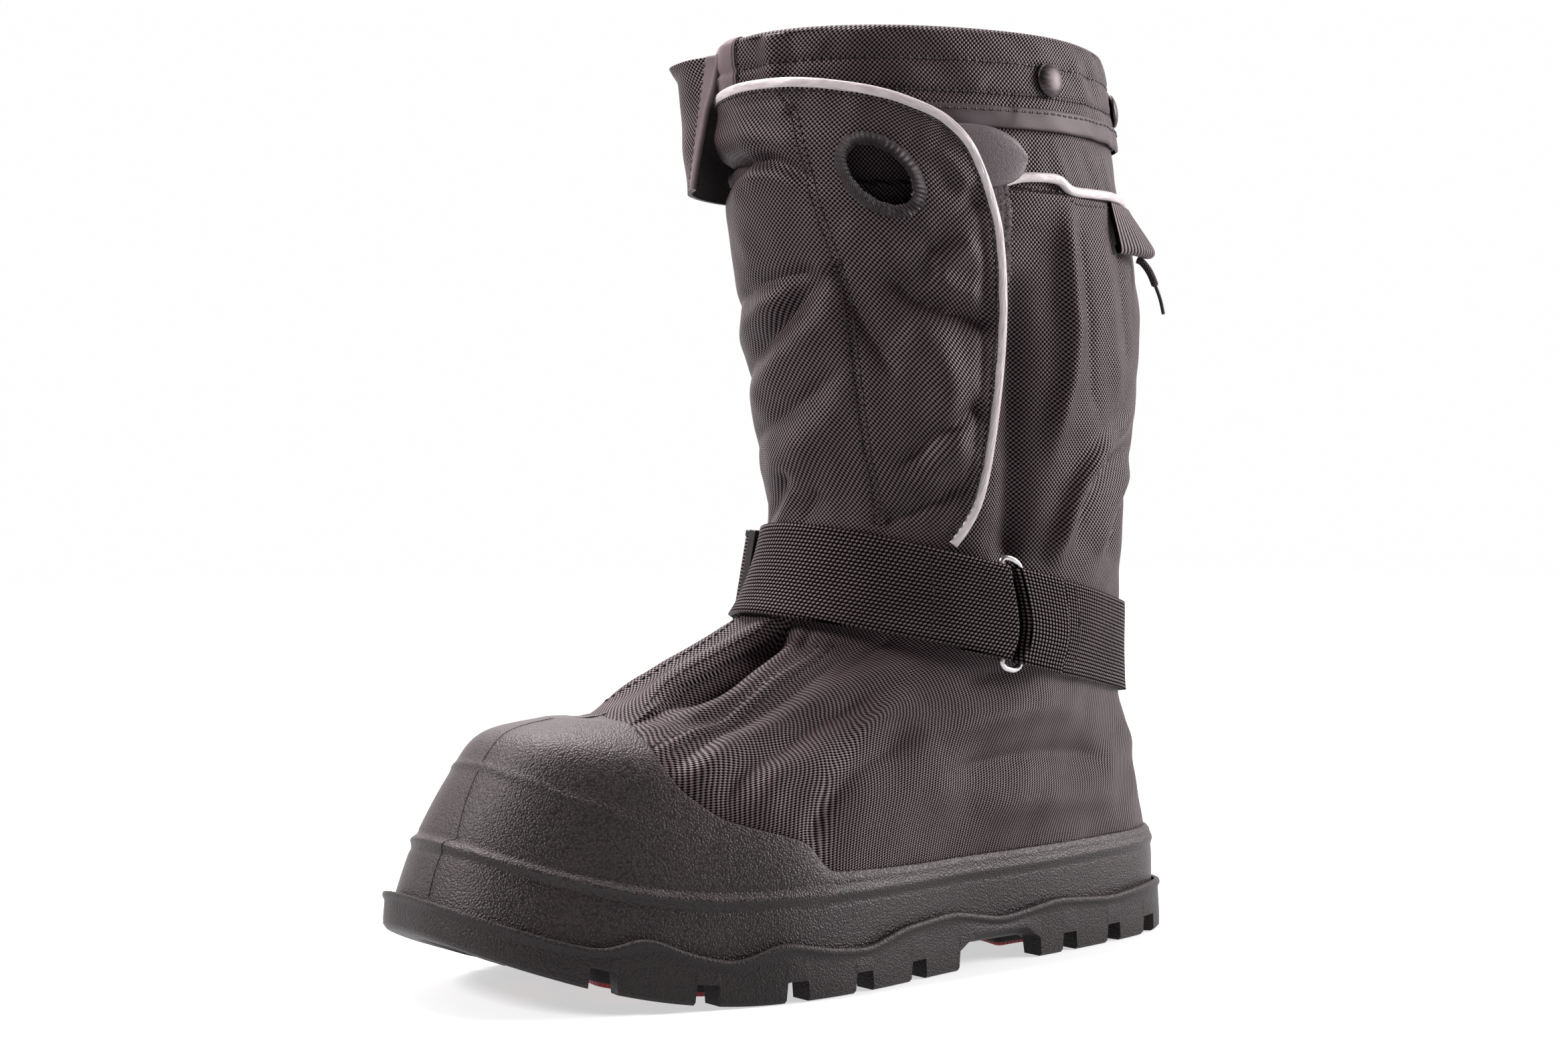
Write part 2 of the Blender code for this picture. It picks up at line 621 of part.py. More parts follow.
def bend_to_spring(mesh):
    """Slice a flat block across the shoe where the toe rises, then lift it by the toe spring."""
    work = bmesh.new()
    work.from_mesh(mesh)
    for x in BEND_SLICES:
        whole = list(work.verts) + list(work.edges) + list(work.faces)
        bmesh.ops.bisect_plane(work, geom=whole, plane_co=(x * MM, 0, 0), plane_no=(1, 0, 0), dist=1e-6)
    for vertex in work.verts:
        vertex.co.z += float(spring(vertex.co.x / MM)) * MM
    work.to_mesh(mesh)
    work.free()


def build_inserts():
    """Red tread blocks with rounded corners and drafted sides, set under the tread floor."""
    for name, corners in INSERTS.items():
        outline = rounded(corners, CORNER_RADIUS)
        middle = outline.mean(axis=0)
        inward = middle - outline
        inward = inward / np.linalg.norm(inward, axis=1, keepdims=True)
        rings = []
        for plan, height in ((outline + INSERT_DRAFT * inward, 0.0), (outline, TREAD_FLOOR - GAP)):
            rings.append(np.column_stack((plan, np.full(len(plan), height))))
        count = len(outline)
        faces = grid_faces(2, count, True)
        faces += [tuple(range(count)), tuple(range(count, 2 * count))]
        node = add_mesh(name, np.concatenate(rings), faces, "red_rubber")
        bend_to_spring(node.data)


def flap_offset(angle_deg, height):
    """Offset of the flap's inner face: sewn flat, then lifted, with a bulge round the hole."""
    angle_deg = np.asarray(angle_deg, float)
    height = np.asarray(height, float)
    free = FLAP_STRAPPED + (1 - FLAP_STRAPPED) * ease(*FLAP_STRAPPED_HEIGHTS, height)
    lift = FLAP_SEWN + FLAP_LIFT * ease(*FLAP_LIFT_ANGLES, angle_deg) * free
    lift = lift + OVER_CUFF * ease(*OVER_CUFF_HEIGHTS, height)
    across = np.radians(angle_deg - HOLE_ANGLE) * HOLE_RADIUS
    distance = np.hypot(across, height - HOLE_HEIGHT)
    return lift + BULGE * np.exp(-(distance / BULGE_REACH)**2)


def build_flap():
    """Curved panel between its sewn edge and its free edges, with the finger hole cut through."""
    across = np.linspace(0, 1, FLAP_COLUMNS)[None, :, None]
    upward = np.linspace(0, 1, FLAP_ROWS)[:, None, None]
    top = along(FLAP_TOP, np.linspace(0, len(FLAP_TOP) - 1, FLAP_COLUMNS))[None]
    free = along(FLAP_SIDE, np.linspace(0, len(FLAP_SIDE) - 1, FLAP_ROWS))[:, None]
    low_left = np.array((FLAP_TOP[0][0], FLAP_BOTTOM), float)
    low_right = np.array(FLAP_SIDE[0], float)
    top_left = np.array(FLAP_TOP[0], float)
    top_right = np.array(FLAP_SIDE[-1], float)
    bottom = low_left * (1 - across) + low_right * across
    sewn = low_left * (1 - upward) + top_left * upward
    corners = ((1 - across) * (1 - upward) * low_left + across * (1 - upward) * low_right
               + (1 - across) * upward * top_left + across * upward * top_right)
    patch = (1 - upward) * bottom + upward * top + (1 - across) * sewn + across * free - corners
    angle, height = patch[..., 0], patch[..., 1]
    grid = place(angle, height, flap_offset(angle, height) + FLAP_WALL)
    flap = sheet("front_flap", grid, FLAP_WALL, "nylon", side=-1.0)
    right, up, normal = facing(HOLE_ANGLE, HOLE_HEIGHT)
    centre = place(HOLE_ANGLE, HOLE_HEIGHT, flap_offset(HOLE_ANGLE, HOLE_HEIGHT) + FLAP_WALL / 2)
    turn = np.linspace(0, 2 * np.pi, HOLE_COUNT, endpoint=False)
    tilt = math.radians(HOLE_TILT)
    flat = HOLE_LONG * np.cos(turn)[:, None] * (math.cos(tilt) * right + math.sin(tilt) * up)
    flat = flat + HOLE_SHORT * np.sin(turn)[:, None] * (math.cos(tilt) * up - math.sin(tilt) * right)
    punch_points = np.concatenate([centre + flat + depth * normal for depth in HOLE_PUNCH])
    punch_faces = grid_faces(2, HOLE_COUNT, True)
    punch_faces += [tuple(range(HOLE_COUNT)), tuple(range(HOLE_COUNT, 2 * HOLE_COUNT))]
    punch = add_mesh("hole_punch", punch_points, punch_faces, "nylon")
    PARTS.objects.unlink(punch)
    CUTTERS.objects.link(punch)
    combine(flap, punch, "DIFFERENCE")


def build_hole_ring():
    """Satin-stitched oval rim lying on the flap round the hole."""
    turn = np.linspace(0, 2 * np.pi, HOLE_COUNT, endpoint=False)[:, None]
    wrap = np.linspace(0, 2 * np.pi, 6, endpoint=False)[None, :]
    extra = HOLE_RING_WIDTH / 2 * (1 + np.cos(wrap)) + GAP
    rise = GAP + HOLE_RING_HEIGHT / 2 * (1 + np.sin(wrap)) + 0 * turn
    long_way = (HOLE_LONG + extra) * np.cos(turn)
    short_way = (HOLE_SHORT + extra) * np.sin(turn)
    tilt = math.radians(HOLE_TILT)
    right_way = long_way * math.cos(tilt) - short_way * math.sin(tilt)
    up_way = long_way * math.sin(tilt) + short_way * math.cos(tilt)
    beside = place(np.array((HOLE_ANGLE - 1, HOLE_ANGLE + 1)), HOLE_HEIGHT, BULGE + FLAP_LIFT)
    angle = HOLE_ANGLE + right_way * 2 / np.linalg.norm(beside[1] - beside[0])
    height = HOLE_HEIGHT + up_way
    grid = place(angle, height, flap_offset(angle, height) + FLAP_WALL + rise)
    count, sides = grid.shape[:2]
    faces = []
    for i in range(count):
        for j in range(sides):
            m, k = (i + 1) % count, (j + 1) % sides
            faces.append((i * sides + j, i * sides + k, m * sides + k, m * sides + j))
    add_mesh("flap_hole_ring", grid.reshape(-1, 3), faces, "thread")


def flap_edge(count):
    """Free edge of the flap as angles and heights, from the strap up and across the top."""
    side = along(FLAP_SIDE, np.linspace(1.1, len(FLAP_SIDE) - 1, count))
    top = along(FLAP_TOP, np.linspace(len(FLAP_TOP) - 1, 2.2, count))
    return np.concatenate((side, top[1:]))


def build_flap_piping():
    """White cord along the flap's free edge, beside the flap."""
    edge = flap_edge(14)
    angle, height = edge[:, 0], edge[:, 1]
    offset = flap_offset(angle, height) + FLAP_WALL / 2
    line = place(angle, height, offset)
    forward = np.gradient(line, axis=0)
    normal = outward(level_at(np.radians(angle), height), np.radians(angle))
    aside = np.cross(forward, normal)
    aside = aside / np.linalg.norm(aside, axis=1, keepdims=True)
    tube("flap_piping", line + (PIPING_RADIUS + GAP) * aside, PIPING_RADIUS, "reflective")


def build_back_piping():
    """White cord on the ledge of the upper's outer panel, round the back."""
    angle = np.degrees([ROUND_TURNS[k] for k in range(BACK_PIPING_FIRST, BACK_PIPING_LAST + 1)])
    tube("back_piping", place(angle, BACK_PIPING_HEIGHT, BACK_PIPING_OFFSET), PIPING_RADIUS, "reflective")


def build_pull_tab():
    """Grained tongue with a round end that shows past the flap's upper corner."""
    share = np.linspace(0, 1, 9)
    bend = ((share - TAB_STRAIGHT) / (1.01 - TAB_STRAIGHT)).clip(0, None)
    half = TAB_HALF * np.sqrt(1 - bend**2)
    angle = TAB_START + (TAB_END - TAB_START) * share
    rows = np.linspace(-1, 1, 3)[:, None]
    grid = place(angle[None, :] + 0 * rows, TAB_HEIGHT + rows * half[None, :], TAB_OFFSET)
    sheet("pull_tab", grid, TAB_WALL, "leatherette")


def build_hook_strip():
    """Fastening strip on the upper beside and under the flap's edge."""
    heights = np.linspace(HOOK_LOW, HOOK_HIGH, 7)
    edge = np.interp(heights, [row[1] for row in FLAP_SIDE], [row[0] for row in FLAP_SIDE])
    angle = edge[:, None] + np.linspace(*HOOK_REACH, 4)[None, :]
    sheet("hook_strip", place(angle, heights[:, None], HOOK_OFFSET), HOOK_WALL, "webbing")


def collar_lift(angle_deg):
    """Rise of the collar's edge from the front to the back."""
    return COLLAR_TILT * (1 - np.cos(np.radians(angle_deg))) / 2


def build_cuff():
    """Fabric band folded over the collar's edge, open at the front, and its lower binding."""
    angle = np.degrees([ROUND_TURNS[k] for k in range(CUFF_FIRST, CUFF_LAST + 1)])
    offset, height, stand_off = np.array(CUFF_PROFILE).T[:, :, None]
    lift = collar_lift(angle)[None, :]
    grid = place(angle[None, :], height + lift, offset + stand_off * ease(*CUFF_END_ANGLES, angle))
    sheet("cuff", grid, CUFF_WALL, "nylon")
    heights = np.array((BINDING_LOW, BINDING_HIGH))[:, None] + lift[:, 1:-1]
    tape = place(angle[None, 1:-1], heights, CUFF_FACE + GAP + BINDING_WALL / 2)
    sheet("cuff_binding", tape, BINDING_WALL, "webbing")


def lifted(grid, distance):
    """Grid moved outward along its own normals."""
    normal = np.cross(np.gradient(grid, axis=1), np.gradient(grid, axis=0))
    return grid + distance * normal / np.linalg.norm(normal, axis=-1, keepdims=True)


def build_wing():
    """Medial collar end that bows out in front of the flap and curls back to its bound edge."""
    end = len(WING) - 1
    curve = along(WING, np.append(np.linspace(0, WING_TAPE_START, WING_COLUMNS), end))
    angle, low_offset, high_offset = curve.T
    share = np.linspace(0, 1, WING_ROWS)[:, None]
    low = WING_LOW + WING_LOW_RISE * ease(*WING_LOW_ANGLES, angle)
    height = low + (WING_HIGH - low) * share
    grid = place(angle, height, low_offset + (high_offset - low_offset) * share + WING_WALL / 2)
    sheet("collar_wing", grid, WING_WALL, "nylon")
    tape = lifted(grid, WING_WALL / 2 + GAP + WING_TAPE_WALL / 2)[:, -2:]
    sheet("wing_binding", tape, WING_TAPE_WALL, "webbing")


def build_snaps():
    """Domed snap caps, turned round the cuff's outward direction."""
    count = SNAP_COUNT
    turn = np.linspace(0, 2 * np.pi, count, endpoint=False)
    for name, (angle, height) in SNAPS.items():
        right, up, normal = facing(angle, height)
        centre = place(angle, height, CUFF_FACE + SNAP_LIFT)
        points = [centre]
        faces = []
        for radius, rise in SNAP_PROFILE[1:-1]:
            for t in turn:
                points.append(centre + radius * (math.cos(t) * right + math.sin(t) * up) + rise * normal)
        points.append(centre + SNAP_PROFILE[-1][1] * normal)
        rings = len(SNAP_PROFILE) - 2
        faces += grid_faces(rings, count, True, start=1)
        faces += [(0, 1 + j, 1 + (j + 1) % count) for j in range(count)]
        top = 1 + (rings - 1) * count
        faces += [(len(points) - 1, top + j, top + (j + 1) % count) for j in range(count)]
        add_mesh(name, np.array(points), faces, "steel")


def strap_height(angle_deg):
    """Middle height of the slanted instep strap."""
    return STRAP_MIDDLE + STRAP_RISE * np.cos(np.radians(angle_deg))


def ribbon(name, path):
    """Webbing along a path of angles and offsets at the strap's height."""
    angle, offset = np.array(path, float).T
    across = np.linspace(-0.5, 0.5, 3)[:, None] * WEBBING_WIDTH
    lean = STRAP_LEAN * across * np.sin(np.radians(angle))[None, :]
    grid = place(angle[None, :] + lean, strap_height(angle)[None, :] + across, offset[None, :])
    return sheet(name, grid, WEBBING_WALL, "webbing")


def fold(bar, begin, turn):
    """Half turn of webbing round a ring bar: angles and offsets."""
    radius = RING_WIRE + GAP + WEBBING_WALL / 2
    steps = np.radians(np.linspace(90, -90, 7))
    across = np.degrees(radius / STRAP_RADIUS)
    return [(bar + turn * across * math.cos(t), RING_LIFT + begin * radius * math.sin(t)) for t in steps]


def build_straps():
    """Instep strap from the buckle to the ring, heel strap on round the heel, both folded at the ring."""
    radius = RING_WIRE + GAP + WEBBING_WALL / 2
    front = [(a, OVER_FLAP) for a in np.linspace(STRAP_FRONT, 54, 14)]
    front += [(RING_FRONT - step, RING_LIFT + radius) for step in (17, 8)]
    front += fold(RING_FRONT, 1.0, 1.0)
    front += [(RING_FRONT - step, RING_LIFT - radius) for step in (6, 12)]
    ribbon("instep_strap", front)
    rear = [(RING_REAR + step, RING_LIFT + radius) for step in (13, 6)]
    rear += fold(RING_REAR, 1.0, -1.0)
    rear += [(RING_REAR + 7, RING_LIFT - radius)] + [(a, OVER_UPPER) for a in np.linspace(108, 236, 15)]
    rear += [(a, OVER_FLAP) for a in np.linspace(250, HEEL_STRAP_END, 6)]
    ribbon("heel_strap", rear)


def build_ring():
    """Rectangular wire ring between the two straps."""
    edge = WEBBING_WIDTH / 2
    rows = np.array((-edge - RING_PAST, -edge, 0.0, edge, edge + RING_PAST))
    corner = np.array((RING_HALF,))

    def bar(angle, across):
        lean = STRAP_LEAN * across * math.sin(math.radians(angle))
        return list(place(angle + lean, strap_height(angle) + across, RING_LIFT))

    inner_front, inner_rear = RING_FRONT + RING_TURN, RING_REAR - RING_TURN
    path = bar(RING_FRONT, rows) + bar(inner_front, corner) + bar(inner_rear, corner)
    path += bar(RING_REAR, rows[::-1]) + bar(inner_rear, -corner) + bar(inner_front, -corner)
    tube("strap_ring", path, RING_WIRE, "steel", closed=True)


def build_buckle():
    """Slide buckle: plate with two slots and an outward flange along its top and bottom edges."""
    height = float(strap_height(BUCKLE_ANGLE))
    reach = np.array((-BUCKLE_REACH, BUCKLE_REACH))
    lean = STRAP_LEAN * reach * math.sin(math.radians(BUCKLE_ANGLE))
    ends = place(BUCKLE_ANGLE + lean, height + reach, OVER_FLAP + WEBBING_WALL / 2)
    up = (ends[1] - ends[0]) / np.linalg.norm(ends[1] - ends[0])
    right = np.cross(up, facing(BUCKLE_ANGLE, height)[2])
    right = right / np.linalg.norm(right)
    normal = np.cross(right, up)
    axes = (right, up, normal)
    base = ends.mean(axis=0) + BUCKLE_LIFT * normal
    plate = boxed("strap_buckle", base + BUCKLE_WALL / 2 * normal, axes,
                  (BUCKLE_LENGTH, 2 * BUCKLE_HALF, BUCKLE_WALL), PARTS)
    plate.data.materials.append(finish("plastic"))
    for number, sign in enumerate((-1, 1)):
        edge = base + sign * (BUCKLE_HALF - FLANGE_INSET) * up + FLANGE_RISE * normal
        combine(plate, boxed("buckle_flange_%d" % number, edge, axes, FLANGE_SIZES, CUTTERS), "UNION")
        middle = base + sign * SLOT_APART * right + normal
        combine(plate, boxed("buckle_slot_%d" % number, middle, axes, SLOT_SIZES, CUTTERS), "DIFFERENCE")
    rows = np.linspace(-0.5, 0.5, 3)[:, None, None] * WEBBING_WIDTH
    columns = np.linspace(-0.5, 0.5, 6)[None, :, None] * TAIL_LENGTH
    grid = base + columns * right + rows * up + (BUCKLE_WALL + GAP + WEBBING_WALL / 2) * normal
    sheet("strap_tail", grid, WEBBING_WALL, "webbing")


def build_loop_and_cord():
    """Pull loop whose rear edge stands off the back, and the drawcord end that hangs out of it."""
    profile = along(LOOP_PROFILE, np.linspace(0, len(LOOP_PROFILE) - 1, LOOP_ROWS))
    against = LOOP_PROFILE[0][1]
    offset = against + (profile[:, 1][:, None] - against) * np.array(LOOP_STAND)
    grid = place(np.array(LOOP_ANGLES, float), profile[:, 0][:, None], offset)
    sheet("pull_loop", grid, LOOP_WALL, "webbing")
    for name, rows, radius, material in (("drawcord", CORD_PATH, CORD_RADIUS, "webbing"),
                                         ("drawcord_tip", TIP_PATH, TIP_RADIUS, "plastic")):
        line = along(rows, np.linspace(0, len(rows) - 1, 2 * len(rows) - 1))
        tube(name, place(CORD_ANGLE, line[:, 0], line[:, 1]), radius, material)


build_outsole()
build_insole()
build_inserts()
build_galosh()
build_upper()
build_flap()
build_hole_ring()
build_flap_piping()
build_back_piping()
build_pull_tab()
build_hook_strip()
build_cuff()
build_wing()
build_snaps()
build_straps()
build_ring()
build_buckle()
build_loop_and_cord()
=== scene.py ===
"""Looks of the left winter overshoe: woven cloth, pebbled rubber, webbing, piping and trim.

Every surface is worked out from the form of the last, in millimetres and degrees, and written in metres.
Angles run round the boot from the front (0) by the lateral side (90) to the back (180).
"""
import math

import bpy
import numpy as np
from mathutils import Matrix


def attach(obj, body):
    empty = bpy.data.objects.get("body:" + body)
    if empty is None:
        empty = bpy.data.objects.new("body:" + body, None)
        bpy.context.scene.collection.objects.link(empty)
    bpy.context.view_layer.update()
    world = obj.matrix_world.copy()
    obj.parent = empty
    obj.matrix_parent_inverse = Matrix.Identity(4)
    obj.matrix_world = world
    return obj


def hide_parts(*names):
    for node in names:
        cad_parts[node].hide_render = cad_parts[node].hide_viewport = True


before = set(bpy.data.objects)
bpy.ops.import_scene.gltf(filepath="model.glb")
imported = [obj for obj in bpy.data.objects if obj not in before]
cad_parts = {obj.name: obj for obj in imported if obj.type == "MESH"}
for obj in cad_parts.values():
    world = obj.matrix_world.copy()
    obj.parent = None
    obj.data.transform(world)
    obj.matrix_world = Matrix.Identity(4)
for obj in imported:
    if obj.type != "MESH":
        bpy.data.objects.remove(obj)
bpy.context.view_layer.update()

MM = 0.001

# Form of the last and its walls
SOLE_HALF_LENGTH = 173.8
SOLE_MARGIN = 5.8
SPRING_START = 68.0
TOE_SPRING = 27.0
SPINE_HEEL = -115.0
SPINE_TOE = 105.0
CENTRE_LINE = (-4.0, -4.0, 3.0, 6.0, 2.0, -5.0, -10.0)
HEEL_STATION = 0.15
WAIST_STATION = 0.38
BALL_STATION = 0.70
GAP = 0.3
UPPER_WALL = 2.2
PANEL_STEP = 2.5
STEP_LEVEL = 11.0
COLLAR_LEVEL = 11.96
LIP_WALL = 2.2
SLAB_TOP = 10.5
TREAD_FLOOR = 7.5
INSOLE_THICKNESS = 4.0
INSOLE_MARGIN = 5.2
SECTION = ("front_x", "front_z", "back_x", "back_z", "heel", "waist", "ball",
           "rise", "spring", "bend", "toe_square", "heel_square")
SECTIONS = np.array((
    (168, 10.8, -168, 10.8, 49, 45, 62, 1.0, 1.0, 1.0, 2.7, 3.6),
    (161, 36.0, -168, 38.0, 49, 46, 61, 1.0, 1.0, 1.0, 2.45, 3.5),
    (149, 66.0, -166, 58.0, 48, 48, 58, 2.0, 0.8, 0.85, 2.4, 3.2),
    (137, 87.0, -164, 73.0, 47, 49, 55, 2.0, 0.5, 0.75, 2.4, 2.9),
    (116, 96.5, -162, 87.0, 46, 49, 50, 2.0, 0.2, 0.5, 2.1, 2.6),
    (95, 98.5, -160, 100.0, 46, 49, 48, 1.5, 0.0, 0.4, 2.1, 2.4),
    (61, 112.5, -158, 115.0, 47, 50, 48, 1.0, 0.0, 0.3, 2.1, 2.3),
    (26, 131.0, -156, 130.0, 49, 52, 50, 1.0, 0.0, 0.2, 2.0, 2.2),
    (7, 171.0, -155, 153.0, 51, 54, 53, 1.0, 0.0, 0.1, 2.0, 2.1),
    (12, 205.0, -160, 197.0, 55, 58, 57, 1.0, 0.0, 0.0, 2.0, 2.0),
    (18, 250.0, -165, 250.0, 59, 62, 61, 1.0, 0.0, 0.0, 2.0, 2.0),
    (26, 300.0, -156, 300.0, 60, 63, 62, 1.0, 0.0, 0.0, 2.0, 2.0),
    (31, 356.0, -144, 361.0, 58, 60, 59, 1.0, 0.0, 0.0, 2.0, 2.0),
    (32, 366.0, -142, 371.0, 58, 60, 59, 1.0, 0.0, 0.0, 2.0, 2.0),
), dtype=float)
LEVEL_SPANS = (26, 26, 21, 20, 20, 30, 30, 32, 40, 49, 50, 57, 10)

# Galosh: upper edge by angle and section level, bead at the feather line, walls
GALOSH_TOP = ((0, 5.0), (14, 4.75), (26, 4.2), (38, 3.4), (48, 2.5), (56, 2.05), (64, 1.85),
              (70, 1.68), (74, 1.25), (90, 1.2), (180, 1.2))
GALOSH_WALL = 2.5
GALOSH_EDGE = 1.3
BEAD_LEVEL = 0.98
BEAD_HEIGHT = 1.3
BEAD_HALF = 0.058

# Outsole: rim heights by x, lug stations by x, depths under the sole by ring
RIM = ((-173, 20), (-150, 21), (-120, 19), (-85, 22), (-52, 18), (-25, 23), (5, 21), (25, 16),
       (45, 18), (64, 22), (82, 15.5), (98, 18), (114, 22.5), (128, 14.5), (150, 13.5), (173, 13))
LUGS = ((126, 91), (91, 58), (58, 28), (28, -2), (-2, -31), (-69, -91), (-91, -120), (-120, -146))
FOREFOOT_LUGS = 5
NOTCH_HALF = 4.0
DRAFT = 0.6
ARCH_STATIONS = (-36, -45, -55, -65)
TOE_BUMPER_ANGLES = (0, 7, 14, 20, 26, 32)
HEEL_BUMPER_ANGLES = (156, 160, 164, 169, 174, 180)
NICK_ANGLES = (0, 20, 164, 180)
RING_INSET = (0.0, 1.2, 10.0, 10.8, 23.0, 25.0, 25.8)
BOTTOM = {
    "lug_end": (1.2, 0.0, 0.0, 7.5, 7.5, 7.5, 7.5),
    "lug_middle": (1.2, 0.0, 0.0, 1.6, 7.5, 7.5, 7.5),
    "notch": (7.5, 7.5, 7.5, 7.5, 7.5, 7.5, 7.5),
    "bumper": (1.2, 0.0, 0.0, 0.0, 0.0, 0.0, 7.5),
    "nick": (1.2, 0.0, 0.0, 0.0, 5.0, 6.0, 7.5),
    "arch": (12.5, 11.0, 7.8, 7.7, 7.5, 7.5, 7.5),
}
INSERTS = (
    ((124, -28), (108, -30), (117, 0), (124, 14), (135, -6)),
    ((105, -11), (95, 6), (73, 37), (78, 41), (104, 32), (114, 20)),
    ((96, -36), (75, -42), (85, 3), (90, 3)),
    ((63, -39), (51, -38), (70, 21), (76, 20)),
    ((53, -2), (47, 2), (43, 43), (63, 43)),
    ((41, -39), (20, -35), (35, 6), (40, 6)),
    ((15, -18), (11, -16), (16, 42), (32, 43)),
    ((2, -28), (-16, -24), (1, 4), (6, 3)),
    ((-9, 2), (-14, 4), (-15, 36), (6, 39)),
    ((-63, -28), (-80, -27), (-65, 13), (-60, 12)),
    ((-85, -31), (-102, -31), (-92, -5), (-88, -6)),
    ((-110, -30), (-125, -28), (-104, 6), (-98, 5)),
    ((-134, -21), (-143, -10), (-141, 5), (-125, -9)),
    ((-81, -4), (-106, 24), (-75, 26)),
    ((-117, -3), (-134, 18), (-113, 21)),
)
CORNER_RADIUS = 3.5
# Tread block and the rim round it: inset or outset, and height
INSERT_SIDE = ((0.0, TREAD_FLOOR - GAP), (0.4, 3.0), (0.7, 0.8), (0.95, 0.2), (1.5, 0.0))
INSERT_RIM = ((0.35, TREAD_FLOOR), (0.4, 3.0), (0.75, 1.9), (1.5, 1.8), (2.0, 2.6), (2.3, TREAD_FLOOR))
# Bead of the outsole's rim: outset and drop
RIM_BEAD = ((-LIP_WALL, 0.3), (-LIP_WALL + 0.5, 0.0), (-0.7, 0.0), (-0.2, 0.25), (0.15, 0.8), (0.25, 1.5),
            (0.15, 2.2), (-0.2, 2.7), (-0.45, 3.2))

# Flap: free side edge and top edge as angle and height, sewn on the medial side
FLAP_SIDE = ((57, 152), (58.5, 162), (64.5, 178), (69, 205), (70.5, 237), (72, 270), (71.5, 288),
             (69, 304), (66, 314), (61, 322))
FLAP_TOP = ((-100, 328), (-65, 330), (-38, 332), (-12, 335.5), (12, 336), (31, 334), (48, 329.5),
            (61, 322))
FLAP_BOTTOM = 150.0
FLAP_WALL = 2.0
HOLE_ANGLE = 43.5
HOLE_HEIGHT = 301.5
HOLE_LONG = 13.4
HOLE_SHORT = 8.3
HOLE_TILT = -42.0
HOLE_RADIUS = 74.0
HOLE_MARGIN = 1.6
HOLE_CALM = (29, 18)
RING_STEPS = 330
BULGE = 5.0
BULGE_REACH = 34.0

# Collar
COLLAR_TILT = 5.0
CUFF_ANGLES = (-23.5, 314.0)
CUFF_END_ANGLES = (-2.0, -16.0)
# Cuff section: offset, height, and how far its front end stands off
CUFF_PROFILE = ((-1.6, 322, 0), (-1.6, 330, 2.0), (-1.6, 338, 3.9), (-1.6, 347, 4.7), (-1.6, 353, 4.3),
                (-2.3, 357, 3.4), (-3.9, 358.4, 2.0), (-5.6, 357, 0.8), (-6.3, 353, 0), (-6.3, 346, 0))
CUFF_OUTER_ROWS = 30
CUFF_FOLD_ROW = 36
CUFF_LAST_ROW = 54
# Tape on the cuff's front end: angle and stand-off across it
CUFF_END_TAPE = ((-23.9, -0.4), (-23.7, 0.5), (-22.5, 0.8), (-16, 0.85), (-11, 0.85), (-9.4, 0.7),
                 (-9.0, -0.2))
CUFF_WALL = 1.8
# Collar wing: angle, and inner offset at its lower and upper edges
WING = ((-126, 1.9, 1.9), (-108, 3.2, 3.4), (-92, 4.6, 5.5), (-76, 8.0, 10.0), (-60, 12.8, 15.8),
        (-46, 16.0, 19.2), (-34, 17.2, 19.6), (-26, 17.0, 14.6), (-19, 15.8, 3.8))
WING_TAPE_START = 7.65
WING_LOW = 303.0
WING_HIGH = 354.0
WING_WALL = 1.8
SNAPS = {"snap_button_front": (98, 343.3), "snap_button_rear": (150, 342)}
# Snap cap: radius and rise
SNAP_PROFILE = ((6.25, 0.0), (6.35, 0.35), (6.3, 0.75), (6.0, 1.15), (5.5, 1.55), (4.6, 2.0), (3.5, 2.35),
                (2.3, 2.6), (1.1, 2.75), (0.05, 2.8))
SNAP_WIDER = 1.08
# Binding on the cuff's lower edge: stand-off and height
BINDING_PROFILE = ((-0.4, 320.6), (0.55, 320.9), (0.85, 322.5), (0.9, 325), (0.85, 327.6), (0.55, 328.9),
                   (-0.4, 329.2))
# Back piping: angle and height
BACK_PIPING = ((79, 301.8), (84, 303.9), (90, 304.8), (95, 305.0), (97.5, 304.2), (100, 301.8),
               (103, 301.0),
               (112, 301.6), (126, 302.8), (150, 303.2), (180, 303.3), (216, 303.3), (254, 303.3))
# Pull tab and hook strip
TAB_START = 60
TAB_REACH = 24.5
TAB_HALF = 12.0
TAB_MIDDLE = 310.5
TAB_WALL = 1.4
TAB_EDGE = 2
HOOK_HEIGHTS = (214, 300)
HOOK_UNDER = 9
HOOK_BEYOND = ((214, 3.0), (258, 3.8), (280, 6.2), (299, 9.5))
HOOK_OFFSET = 0.9
HOOK_WALL = 0.8

# Strap
WEBBING_WIDTH = 37.0
WEBBING_WALL = 1.6
STRAP_MIDDLE = 134.0
STRAP_RISE = 17.0
STRAP_LEAN = -0.37
STRAP_FRONT = -60.0
RING_FRONT = 82.0
RING_REAR = 88.0
RING_WIRE = 1.25
RING_LIFT = 3.8
RING_HALF = 21.6
OVER_FLAP = 5.4
OVER_UPPER = 1.4
TONGUE_STEP = 2.4
BUCKLE_ANGLE = -52.0
BUCKLE_HALF = 18.0
BUCKLE_WALL = 3.0
TAIL_LENGTH = 22.0

# Pull loop and cord at the back
LOOP_ANGLES = (119, 129.5, 140)
LOOP_STAND = (0.2, 0.7, 1.0)
LOOP_PROFILE = ((299.4, 0.75), (296.5, 2.0), (290, 5.2), (284, 8.0), (281.2, 8.8), (279.8, 7.6),
                (280.2, 4.9), (282.5, 3.4))
LOOP_WALL = 1.5
CORD_ANGLE = 138.0
CORD_RADIUS = 1.5
TIP_RADIUS = 0.8
CORD_PATH = ((279.2, 2.0), (277.7, 4.2), (273.4, 6.6), (267.6, 8.3))
TIP_PATH = ((268.6, 8.1), (262.5, 9.7), (256.4, 10.6))

